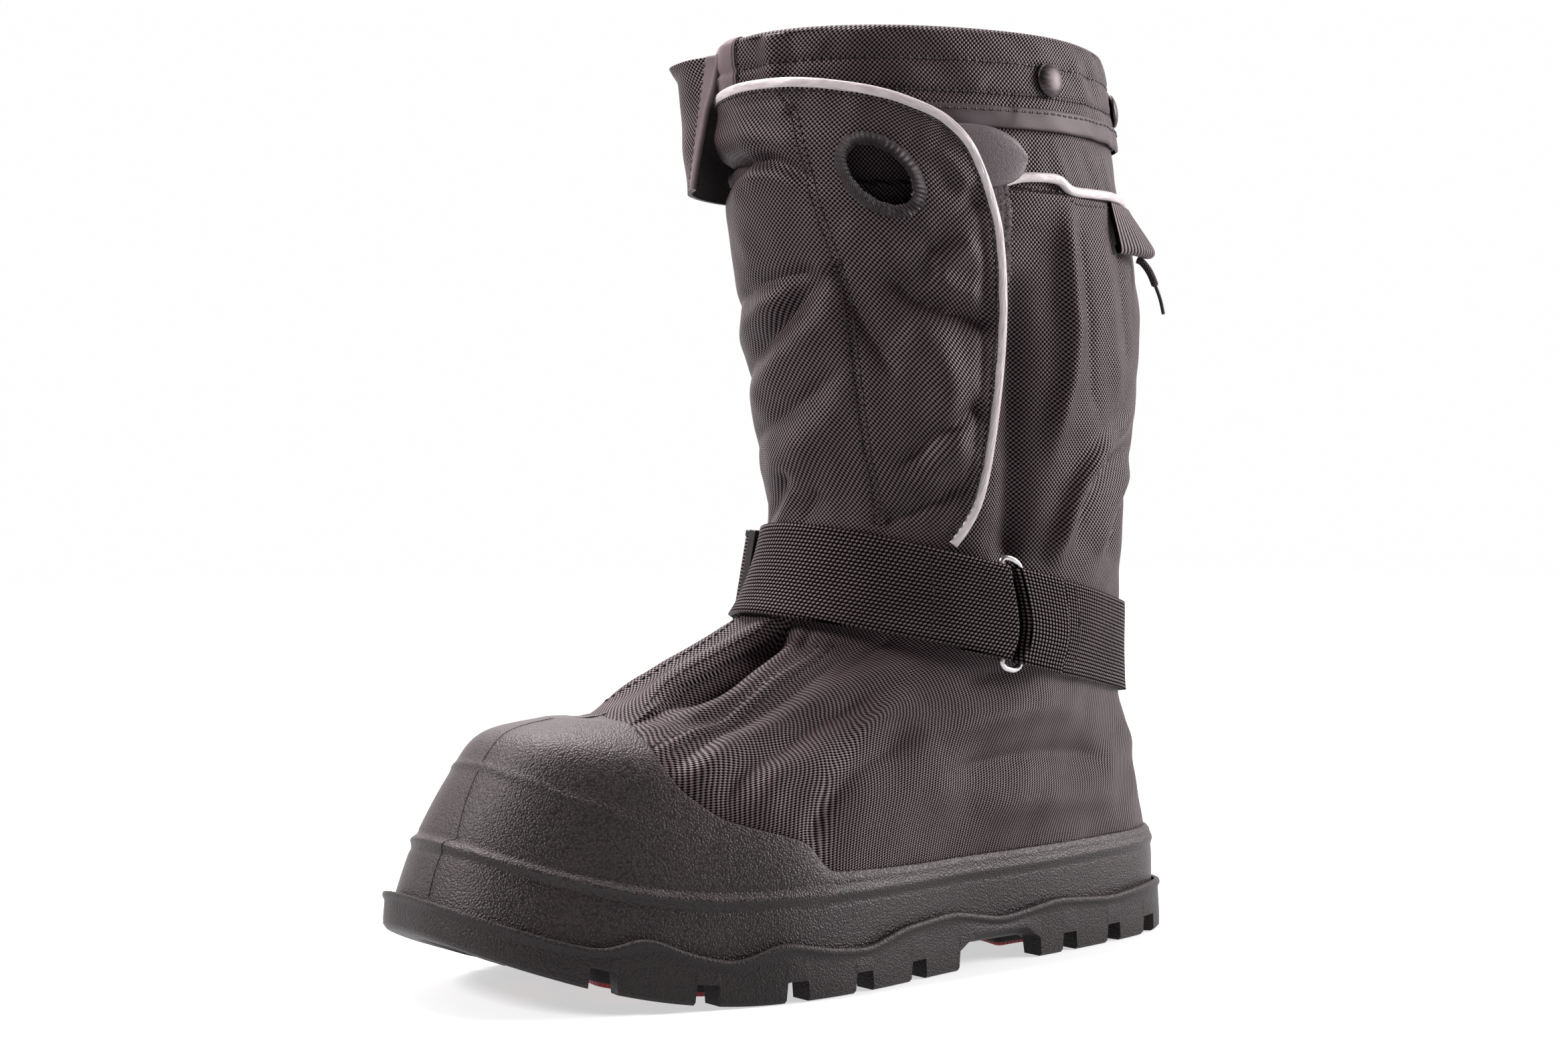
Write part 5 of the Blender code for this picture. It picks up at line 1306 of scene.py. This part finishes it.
def build_flap_stitches():
    """Stitch rows beside the flap's seam and inside its piping."""
    row = drawn(FLAP_SEAM)
    for across in (-1.1, 1.1):
        line, up = flap_skin(row[:, 0] + across, row[:, 1])
        stitch_row(line, up, pitch=2.9, radius=0.4)
    edge = flap_edge(60)
    points, up = flap_skin(edge[:, 0], edge[:, 1])
    aside = frames_along(points, up)[2]
    stitch_row(points - 1.1 * aside, up, pitch=3.0, radius=0.42)


def flap_edge(count):
    """Free edge of the flap as angles and heights, from the strap up and across the top."""
    side = along(FLAP_SIDE, np.linspace(1.1, len(FLAP_SIDE) - 1, count))
    top = along(FLAP_TOP, np.linspace(len(FLAP_TOP) - 1, 2.2, count))
    return np.concatenate((side, top[1:]))


def smoothed(values, passes):
    """Line evened by repeated three-point means, with its ends kept."""
    values = np.array(values, float)
    for number in range(passes):
        values[1:-1] = 0.25 * values[:-2] + 0.5 * values[1:-1] + 0.25 * values[2:]
    return values


def build_flap_trim():
    """White piping along the flap's free edge and the satin-stitched ring of the hole."""
    edge = smoothed(flap_edge(70), 12)
    line, up = flap_skin(edge[:, 0], edge[:, 1], -FLAP_WALL / 2)
    aside = frames_along(line, up)[2]
    piping = sweep("flap_piping_cord", smoothed(line + 1.7 * aside, 3), up,
                   round_profile(2.1, 1.55, 16, 2.6), PIPING)
    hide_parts("flap_piping")
    turn = np.linspace(0, 2 * np.pi, RING_STEPS, endpoint=False)[:, None]
    wrap = np.linspace(0, 2 * np.pi, 20, endpoint=False)[None, :]
    lumps = 1 + 0.05 * np.sin(47 * turn) + 0.06 * np.sin(13 * turn + 1)
    extra = 2.4 * (1 + lumps * np.cos(wrap)) + 0.1
    rise = 0.1 + 1.5 * lumps * (0.7 + np.sin(wrap))
    long_way = (HOLE_LONG + extra) * np.cos(turn)
    short_way = (HOLE_SHORT + extra) * np.sin(turn)
    tilt = math.radians(HOLE_TILT)
    right_way = long_way * math.cos(tilt) - short_way * math.sin(tilt)
    up_way = long_way * math.sin(tilt) + short_way * math.cos(tilt)
    beside = place(np.array((HOLE_ANGLE - 1, HOLE_ANGLE + 1)), HOLE_HEIGHT, BULGE + 2.2)
    angle = HOLE_ANGLE + right_way * 2 / np.linalg.norm(beside[1] - beside[0])
    height = HOLE_HEIGHT + up_way
    grid = flap_skin(angle, height, rise)[0]
    grid = np.concatenate((grid, grid[:1]))
    quads, texture = grid_quads(len(grid), grid.shape[1], True)
    places = cloth_map(grid, True)[..., ::-1].reshape(-1, 2)
    quads = quads % (RING_STEPS * wrap.size)
    ring = mesh_piece("hole_ring_thread", grid[:-1], quads[:, ::-1], SATIN, places[texture][:, ::-1])
    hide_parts("flap_hole_ring")


def build_back_piping():
    """White piping on the ledge of the outer panel, dropping a step beside the back fold."""
    row = drawn(BACK_PIPING, 12)
    line = smoothed(place(row[:, 0], row[:, 1], -0.9), 4)
    normal = normal_at(row[:, 0], row[:, 1])
    piping = sweep("back_piping_cord", line, normal, round_profile(1.95, 1.5, 16, 2.6), PIPING)
    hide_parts("back_piping")
    line, up = upper_skin(row[:, 0], row[:, 1] - 5.0)
    stitch_row(line, up, pitch=3.6)


def build_pull_tab():
    """Grained tongue with a round end: two rows of half widths that shrink as an ellipse past its straight
    part."""
    share = 1 - np.linspace(1, 0, 60)**1.6
    bend = ((share - 0.45) / 0.555).clip(0, None)
    half = TAB_HALF * np.sqrt(np.clip(1 - bend**2, 0, 1))
    angle = TAB_START + TAB_REACH * share
    rows = np.linspace(-1, 1, 25)[:, None]
    edge = np.clip((1 - np.abs(rows)) * half, 0, TAB_EDGE)
    swell = 0.7 * np.sqrt(edge / TAB_EDGE)
    lift = 2.3 + 0.9 * ease(0.3, 1.0, share)[None, :] + 0.4 * np.sin(rows * 2.2 + 1.0)
    grid = place(angle[None, :] + 0 * rows, TAB_MIDDLE + rows * half[None, :], lift + swell)
    tab = grid_piece("pull_tab_tongue", grid, LEATHERETTE, wall=TAB_WALL)
    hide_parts("pull_tab")


def build_hook_strip():
    """Napped fastening strip beside and under the flap's edge, following the upper's folds."""
    heights = np.linspace(*HOOK_HEIGHTS, 110)[:, None]
    edge = between(FLAP_SIDE, heights, key=1)
    ragged = 0.35 * np.sin(heights * 2.1) + 0.3 * np.sin(heights * 3.7 + 1)
    share = np.linspace(0, 1, 24)[None, :]
    beyond = between(HOOK_BEYOND, heights)
    angle = edge - HOOK_UNDER + (HOOK_UNDER + beyond + ragged) * share
    flat = place(angle, heights + 0 * share, HOOK_OFFSET)
    raised = np.clip(upper_relief(flat, angle, heights + 0 * share), -1.2, 1.0)
    normal = normal_at(angle, heights + 0 * share)
    strip = grid_piece("hook_strip_face", flat + raised[..., None] * normal, HOOK, wall=HOOK_WALL)
    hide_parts("hook_strip")


# Collar
def collar_lift(angle_deg):
    """Rise of the collar's edge from the front to the back."""
    return COLLAR_TILT * (1 - np.cos(np.radians(angle_deg))) / 2


CUFF_SEWN = (346.0, 334.0)
CUFF_CURVES = fold_curves(CUFF_FOLDS, -0.7)


def cuff_shape(angle_deg, above, offset, stand_off):
    """Points and normals on the cuff: its section carried round the collar, its front end standing off,
    rippled
    and drawn in along its stitch lines."""
    height = above + collar_lift(angle_deg)
    away = stand_off * ease(*CUFF_END_ANGLES, angle_deg)
    flat = place(angle_deg, height, offset + away)
    normal = normal_at(angle_deg, height)
    drawn_in = sum(-0.8 * np.exp(-((above - row) / 1.1)**2) for row in CUFF_SEWN)
    return flat, normal, ripples(flat, 0.45, 19.0, 3) + relief(flat, CUFF_CURVES) + drawn_in


def cuff_face(angle_deg, above, lift=0.0):
    """Points and normals on the outer face of the cuff at heights from the collar's own edge."""
    angle_deg, above = np.broadcast_arrays(np.asarray(angle_deg, float), np.asarray(above, float))
    stand_off = np.interp(above, [row[1] for row in CUFF_PROFILE[:5]], [row[2] for row in CUFF_PROFILE[:5]])
    flat, normal, raised = cuff_shape(angle_deg, above, -1.6 + CUFF_WALL / 2, stand_off)
    return flat + (raised + lift)[..., None] * normal, normal


def cuff_section(angle):
    """Points of the cuff's folded section at each angle, from its lower edge over the fold to its inner
    edge, and
    the same without ripples."""
    offset, above, stand_off = drawn(CUFF_PROFILE, 6).T[:, :, None]
    flat, normal, raised = cuff_shape(angle + 0 * above, above + 0 * angle, offset + CUFF_WALL / 2,
                                      stand_off)
    outer = (np.arange(len(above)) < CUFF_OUTER_ROWS)[:, None]
    return flat + (raised * outer)[..., None] * normal, flat


def build_cuff():
    """Cloth band folded over the collar's edge: the fold's profile carried round, closed at both ends, its
    stitch
    rows, its taped front end and its lower binding."""
    grid, flat = cuff_section(np.linspace(*CUFF_ANGLES, 420))
    cuff = grid_piece("cuff_cloth", grid, NYLON, wall=CUFF_WALL, base=flat)
    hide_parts("cuff")
    for name, column, flip in (("cuff_front_end", 0, False), ("cuff_rear_end", -1, True)):
        outer = grid[CUFF_FOLD_ROW:2 * CUFF_FOLD_ROW - CUFF_LAST_ROW - 1:-1, column]
        inner = grid[CUFF_FOLD_ROW:CUFF_LAST_ROW + 1, column]
        share = np.linspace(0, 1, 4)[None, :, None]
        end = grid_piece(name, outer[:, None] * (1 - share) + inner[:, None] * share, TAPE, flip=flip)
    turn = np.linspace(CUFF_ANGLES[0] + 17, CUFF_ANGLES[1] - 2, 400)
    for row in CUFF_SEWN:
        line, up = cuff_face(turn, row)
        stitch_row(line, up, pitch=3.4, radius=0.42)
    tape = drawn(BINDING_PROFILE, 4)
    turn = np.linspace(CUFF_ANGLES[0] + 16, CUFF_ANGLES[1] - 8, 420)
    face, up = cuff_face(turn[None, :], tape[:, 1:], tape[:, :1])
    binding = grid_piece("cuff_binding_tape", face, TAPE)
    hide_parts("cuff_binding")
    line, up = cuff_face(turn, 327.2, 0.85)
    stitch_row(line, up, pitch=3.8, length=2.6, radius=0.42)
    across, lift = drawn(CUFF_END_TAPE, 4).T
    face = cuff_section(across)[0][8:46]
    up = unit(np.cross(np.gradient(face, axis=1), np.gradient(face, axis=0)))
    # Cuff's front-end tape and cord take the lighter tape copy, painted as lit
    end_tape = grid_piece("cuff_end_tape", face + lift[None, :, None] * up, LIT_TAPE_COPY)
    side = cuff_section(np.array((-8.9, -8.6, -8.3)))[0][8:40]
    up = unit(np.cross(np.gradient(side, axis=1), np.gradient(side, axis=0)))[:, 1]
    line = side[:, 1]
    cord = sweep("cuff_end_cord", line + 0.3 * up, up, round_profile(0.5, 0.5, 8), LIT_TAPE_COPY)
    aside = frames_along(line, up)[2]
    stitch_row(line + 1.2 * aside, up, pitch=3.0, radius=0.34)


def wing_grid(rows_at, share, lift):
    """Points of the collar's bowed medial end, between the offsets of its lower and upper edges, bent in
    at its
    upper corner."""
    angle, low_offset, high_offset = along(WING, rows_at).T
    low = WING_LOW + 3.0 * ease(-60, -126, angle)
    height = low + (WING_HIGH - low) * share[:, None]
    crease = np.interp(angle, (-60, -46, -24), (342.0, 345.0, 351.0))
    bent = 3.0 * ease(crease - 2.0, crease + 8.0, height) * ease(-26, -36, angle)
    offset = low_offset + (high_offset - low_offset) * share[:, None] + bent + lift
    return place(angle[None, :] + 0 * height, height, offset)


def build_wing():
    """Medial collar end that bows out in front of the flap and curls back to its bound edge."""
    end = len(WING) - 1
    share = np.linspace(0, 1, 60)
    base = wing_grid(np.linspace(0, end, 150), share, WING_WALL)
    normal = unit(np.cross(np.gradient(base, axis=1), np.gradient(base, axis=0)))
    wing = grid_piece("collar_wing_cloth", base + ripples(base, 0.4, 20.0, 9)[..., None] * normal, NYLON,
                      wall=WING_WALL,
                      base=base)
    wing.data.materials.append(LINING)
    wing.modifiers["wall"].material_offset = 1
    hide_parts("collar_wing")
    band = wing_grid(np.linspace(WING_TAPE_START, end, 18), share, WING_WALL)
    across = unit(np.gradient(band, axis=1))
    normal = unit(np.cross(across, np.gradient(band, axis=0)))
    turn = np.linspace(-1, 1.0, 18)
    swell = 0.15 + 0.75 * np.sqrt(np.clip(1 - turn**4, 0, 1))
    past = (0.9 + 1.3 * ease(0.55, 0.8, share))[:, None] * ease(0.3, 1.0, turn)
    tape = band + swell[None, :, None] * normal + past[..., None] * across
    # Wing binding and its edge roll take the lighter tape copy, painted as lit
    binding = grid_piece("wing_binding_tape", tape, LIT_TAPE_COPY, wall=0.5)
    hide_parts("wing_binding")
    roll = sweep("wing_edge_roll", tape[:, -1], normal[:, -1], round_profile(1.4, 1.25, 14), LIT_TAPE_COPY)
    stitch_row(tape[:, 2] - 0.1 * normal[:, 2], normal[:, 2], pitch=3.4, radius=0.28)


def build_snaps():
    """Domed snap caps: a rounded profile turned about the cuff's outward direction, over a thin flange."""
    profile = np.array(SNAP_PROFILE)
    turn = np.linspace(0, 2 * np.pi, 64, endpoint=False)
    for name, (angle, height) in SNAPS.items():
        right, up, normal = facing(angle, height)
        centre = place(angle, height, -0.15)
        spread = np.cos(turn)[:, None] * right + np.sin(turn)[:, None] * up
        grid = centre + SNAP_WIDER * profile[:, :1, None] * spread[None] + profile[:, 1:, None] * normal
        snap = grid_piece(name + "_cap", grid, GUNMETAL, around=True)
        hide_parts(name)


# Strap
def ribbon(path, node):
    """Webbing: a path of angles and offsets at the strap's height, drawn smooth and leaned across its
    width."""
    path = drawn(np.array(path, float), 6)
    across = np.linspace(-0.5, 0.5, 15)[:, None] * WEBBING_WIDTH
    angle, offset = path[:, 0][None, :], path[:, 1][None, :]
    lean = STRAP_LEAN * across * np.sin(np.radians(angle))
    grid = place(angle + lean, strap_height(angle) + across, offset)
    strap = grid_piece(node + "_webbing", grid, WEBBING, wall=WEBBING_WALL, side=0.0)
    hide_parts(node)
    return grid


def strap_fold(bar, turn):
    """Half turn of webbing round a ring bar: angles and offsets."""
    radius = RING_WIRE + GAP + WEBBING_WALL / 2
    steps = np.radians(np.linspace(90, -90, 7))
    across = np.degrees(radius / 82.0)
    return [(bar + turn * across * math.cos(t), RING_LIFT + radius * math.sin(t)) for t in steps]


def build_straps():
    """Instep strap from the buckle to the ring, heel strap on round the heel, both folded at the ring."""
    radius = RING_WIRE + GAP + WEBBING_WALL / 2
    front = [(a, OVER_FLAP) for a in np.linspace(STRAP_FRONT, 54, 14)]
    front += [(RING_FRONT - step, RING_LIFT + radius) for step in (17, 8)]
    front += strap_fold(RING_FRONT, 1.0)
    front += [(RING_FRONT - step, RING_LIFT - radius) for step in (6, 12)]
    ribbon(front, "instep_strap")
    rear = [(RING_REAR + step, RING_LIFT + radius) for step in (13, 6)]
    rear += strap_fold(RING_REAR, -1.0)
    rear += [(RING_REAR + 7, RING_LIFT - radius)] + [(a, OVER_UPPER) for a in np.linspace(108, 236, 15)]
    rear += [(a, OVER_FLAP) for a in np.linspace(250, 296, 6)]
    ribbon(rear, "heel_strap")
    across = np.linspace(-0.47, 0.47, 40) * WEBBING_WIDTH
    for angle, offset in ((58.0, OVER_FLAP + 0.85), (60.5, OVER_FLAP + 0.9),
                          (105.0, RING_LIFT + radius + 0.9)):
        lean = STRAP_LEAN * across * math.sin(math.radians(angle))
        line = place(angle + lean, strap_height(angle) + across, offset)
        stitch_row(line, normal_at(angle + lean, strap_height(angle) + across), pitch=2.6, length=2.0,
                   radius=0.3)


def build_ring():
    """Rectangular wire ring between the two straps, its corners rounded by smoothing a fine line."""
    edge = WEBBING_WIDTH / 2
    rows = np.array((-edge - 1.3, -edge, 0.0, edge, edge + 1.3))
    corner = np.array((RING_HALF,))

    def bar(angle, across):
        """Points across the slanted strap at an angle, at the ring's lift."""
        lean = STRAP_LEAN * across * math.sin(math.radians(angle))
        return list(place(angle + lean, strap_height(angle) + across, RING_LIFT))

    inner_front, inner_rear = RING_FRONT + 1.6, RING_REAR - 1.6
    path = bar(RING_FRONT, rows) + bar(inner_front, corner) + bar(inner_rear, corner)
    path += bar(RING_REAR, rows[::-1]) + bar(inner_rear, -corner) + bar(inner_front, -corner)
    path = np.array(path)
    closed = np.concatenate((path, path[:1]))
    reach = np.concatenate(((0,), np.cumsum(np.linalg.norm(np.diff(closed, axis=0), axis=1))))
    where = np.linspace(0, reach[-1], 160, endpoint=False)
    line = np.stack([np.interp(where, reach, closed[:, axis]) for axis in range(3)], axis=1)
    for number in range(5):
        line = 0.25 * np.roll(line, 1, axis=0) + 0.5 * line + 0.25 * np.roll(line, -1, axis=0)
    hint = np.broadcast_to(normal_at(87.0, strap_height(87.0)), line.shape)
    ring = sweep("strap_ring_wire", line, hint, round_profile(RING_WIRE, RING_WIRE, 14), STEEL, closed=True)
    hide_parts("strap_ring")


def build_buckle():
    """The moulded slide buckle keeps its solid, with softened edges, and the strap's tail lies on it."""
    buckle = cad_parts["strap_buckle"]
    weld = buckle.modifiers.new("join", "WELD")
    weld.merge_threshold = 0.00001
    bevel = buckle.modifiers.new("soft_edges", "BEVEL")
    bevel.width = 0.0005
    bevel.segments = 3
    bevel.angle_limit = math.radians(40)
    for place_in in buckle.material_slots:
        place_in.material = PLASTIC
    height = float(strap_height(BUCKLE_ANGLE))
    reach = np.array((-BUCKLE_HALF, BUCKLE_HALF))
    lean = STRAP_LEAN * reach * math.sin(math.radians(BUCKLE_ANGLE))
    ends = place(BUCKLE_ANGLE + lean, height + reach, OVER_FLAP + WEBBING_WALL / 2)
    up = unit(ends[1] - ends[0])
    right = unit(np.cross(up, facing(BUCKLE_ANGLE, height)[2]))
    normal = np.cross(right, up)
    base = ends.mean(axis=0) + 0.9 * normal
    rows = np.linspace(-0.5, 0.5, 15)[:, None, None] * WEBBING_WIDTH
    columns = np.linspace(-0.5, 0.5, 24)[None, :, None] * TAIL_LENGTH
    curl = 0.5 * (np.linspace(-1, 1, 24)[None, :, None])**4
    grid = base + columns * right + rows * up + (BUCKLE_WALL + GAP + WEBBING_WALL / 2 + curl) * normal
    tail = grid_piece("strap_tail_webbing", grid, WEBBING, wall=WEBBING_WALL, side=0.0)
    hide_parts("strap_tail")


def build_loop_and_cord():
    """Pull loop whose rear edge stands off the back, and the drawcord end that hangs out of it with its
    tip."""
    profile = along(LOOP_PROFILE, np.linspace(0, len(LOOP_PROFILE) - 1, 60))
    angle = np.linspace(LOOP_ANGLES[0], LOOP_ANGLES[-1], 34)
    against = LOOP_PROFILE[0][1]
    offset = against + (profile[:, 1:] - against) * np.interp(angle, LOOP_ANGLES, LOOP_STAND)
    grid = place(angle[None, :], profile[:, :1], offset)
    loop = grid_piece("pull_loop_webbing", grid, GROSGRAIN, wall=LOOP_WALL, side=0.0, flip=True)
    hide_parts("pull_loop")
    for name, rows, radius, finish, slot in (
            ("drawcord", CORD_PATH, CORD_RADIUS, CORD, "webbing"),
            ("drawcord_tip", TIP_PATH, TIP_RADIUS, PLASTIC, "plastic")):
        row = drawn(rows, 12)
        line = place(CORD_ANGLE, row[:, 0], row[:, 1])
        hint = np.broadcast_to(facing(CORD_ANGLE, 280.0)[0], line.shape)
        end = ease(0, 0.06, np.linspace(0, 1, len(line))) * ease(1, 0.94, np.linspace(0, 1, len(line)))
        piece = sweep(name + "_end", line, hint, round_profile(radius, radius, 14), finish,
                      scale=0.55 + 0.45 * end)
        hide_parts(name)


def build_stitches():
    """All stitch rows as one piece."""
    rods = np.concatenate(STITCHES)
    count = len(rods)
    quads, texture = grid_quads(STITCH_RINGS, STITCH_SIDES, True)
    faces = (np.arange(count)[:, None, None] * STITCH_RINGS * STITCH_SIDES + quads[None]).reshape(-1, 4)
    length, round_way = np.meshgrid(np.linspace(0, 2.3, STITCH_RINGS),
                                    np.linspace(0, 2.0, STITCH_SIDES + 1), indexing="ij")
    places = np.stack((length, round_way), axis=-1).reshape(-1, 2)[texture].reshape(-1, 2)
    stitches = mesh_piece("stitching", rods.reshape(-1, 3), faces, THREAD, np.tile(places, (count, 1)))


build_upper()
build_galosh()
build_outsole()
build_inserts()
build_insole()
build_flap()
build_flap_stitches()
build_flap_trim()
build_back_piping()
build_pull_tab()
build_hook_strip()
build_cuff()
build_wing()
build_snaps()
build_straps()
build_ring()
build_buckle()
build_loop_and_cord()
build_stitches()

# Stage: pale floor, white surround, a wide sun, two soft lights and the camera
scene = bpy.context.scene
scene.view_settings.view_transform = "Standard"
floor_mesh = bpy.data.meshes.new("floor")
FLOOR_HALF = 6
FLOOR_LEVEL = -0.0002
corners = [(x * FLOOR_HALF, y * FLOOR_HALF, FLOOR_LEVEL) for x, y in ((-1, -1), (1, -1), (1, 1), (-1, 1))]
floor_mesh.from_pydata(corners, [], [(0, 1, 2, 3)])
floor = bpy.data.objects.new("floor", floor_mesh)
floor_finish, floor_tree, floor_shader = finish_base("floor_paper", (0.3, 0.3, 0.3), 0.9)
paper = noise(floor_tree, object_place(floor_tree), 3.0)
floor_tree.links.new(blend_colour(floor_tree, paper, (0.28, 0.30, 0.30), (0.30, 0.32, 0.32)),
                     floor_shader.inputs["Base Color"])
floor_shader.inputs["Emission Color"].default_value = (1.0, 1.0, 1.0, 1.0)
floor_shader.inputs["Emission Strength"].default_value = 0.58
floor_mesh.materials.append(floor_finish)
scene.collection.objects.link(floor)

VIEW_TURN = math.radians(38)
LEFTWARD = np.array((math.cos(VIEW_TURN), -math.sin(VIEW_TURN), 0.0))
NEARER = np.array((math.sin(VIEW_TURN), math.cos(VIEW_TURN), 0.0))
UPWARD = np.array((0.0, 0.0, 1.0))
LIGHT_TINT = (1.0, 0.915, 0.93)
EYE_DISTANCE = 0.95
EYE_HEIGHT = 0.170
AIM_LEFT = 0.0106
LENS = 55.6

world = bpy.data.worlds.new("white_surround")
scene.world = world
world.use_nodes = True
world_tree = world.node_tree
surround = world_tree.nodes["Background"]
surround.inputs["Color"].default_value = (*LIGHT_TINT, 1.0)
towards = world_tree.nodes.new("ShaderNodeTexCoord").outputs["Generated"]
brightest = 0.25 * LEFTWARD - 0.85 * NEARER + 0.45 * UPWARD
behind = made(world_tree, "ShaderNodeVectorMath", {0: towards, 1: brightest}, operation="DOT_PRODUCT")
world_tree.links.new(stretch(world_tree, behind.outputs["Value"], 0.0, 0.9, 0.04, 2.0),
                     surround.inputs["Strength"])
backdrop = made(world_tree, "ShaderNodeBackground", {"Color": (1.0, 0.995, 1.0, 1.0), "Strength": 1.0})
seen = world_tree.nodes.new("ShaderNodeLightPath")
shown = made(world_tree, "ShaderNodeMixShader", {0: seen.outputs["Is Camera Ray"], 1: surround.outputs[0],
                                                 2: backdrop.outputs[0]})
world_tree.links.new(shown.outputs[0], world_tree.nodes["World Output"].inputs["Surface"])


def add_light(name, kind, left, near, high, size, power):
    """Soft light at a place given in the picture's directions, aimed at the boot's middle: a square, or a
    wide sun."""
    data = bpy.data.lights.new(name, kind)
    if kind == "SUN":
        data.angle = math.radians(size)
    else:
        data.size = size
    data.energy = power
    data.color = LIGHT_TINT
    light = bpy.data.objects.new(name, data)
    spot = left * LEFTWARD + near * NEARER + high * UPWARD
    aim = np.array((0.0, 0.0, 0.15)) - spot
    aim = aim / np.linalg.norm(aim)
    turn = math.atan2(aim[1], aim[0]) - math.pi / 2
    light.location = spot
    light.rotation_euler = (math.pi / 2 + math.asin(aim[2]), 0.0, turn)
    scene.collection.objects.link(light)


add_light("key_from_left", "SUN", 0.95, 0.48, 0.95, 14.0, 5.1)
add_light("softbox_above", "AREA", 0.25, -0.35, 1.45, 0.9, 56.0)
add_light("fill_from_right", "AREA", -1.15, -0.14, 0.60, 0.6, 30.0)

camera_data = bpy.data.cameras.new("photo_camera")
camera_data.sensor_width = 36.0
camera_data.lens = LENS
camera_data.clip_start = 0.01
camera = bpy.data.objects.new("photo_camera", camera_data)
eye = EYE_DISTANCE * NEARER + EYE_HEIGHT * UPWARD
aim = AIM_LEFT * LEFTWARD + EYE_HEIGHT * UPWARD - eye
camera.location = eye
camera.rotation_euler = (math.pi / 2, 0.0, math.atan2(aim[1], aim[0]) - math.pi / 2)
scene.collection.objects.link(camera)
scene.camera = camera
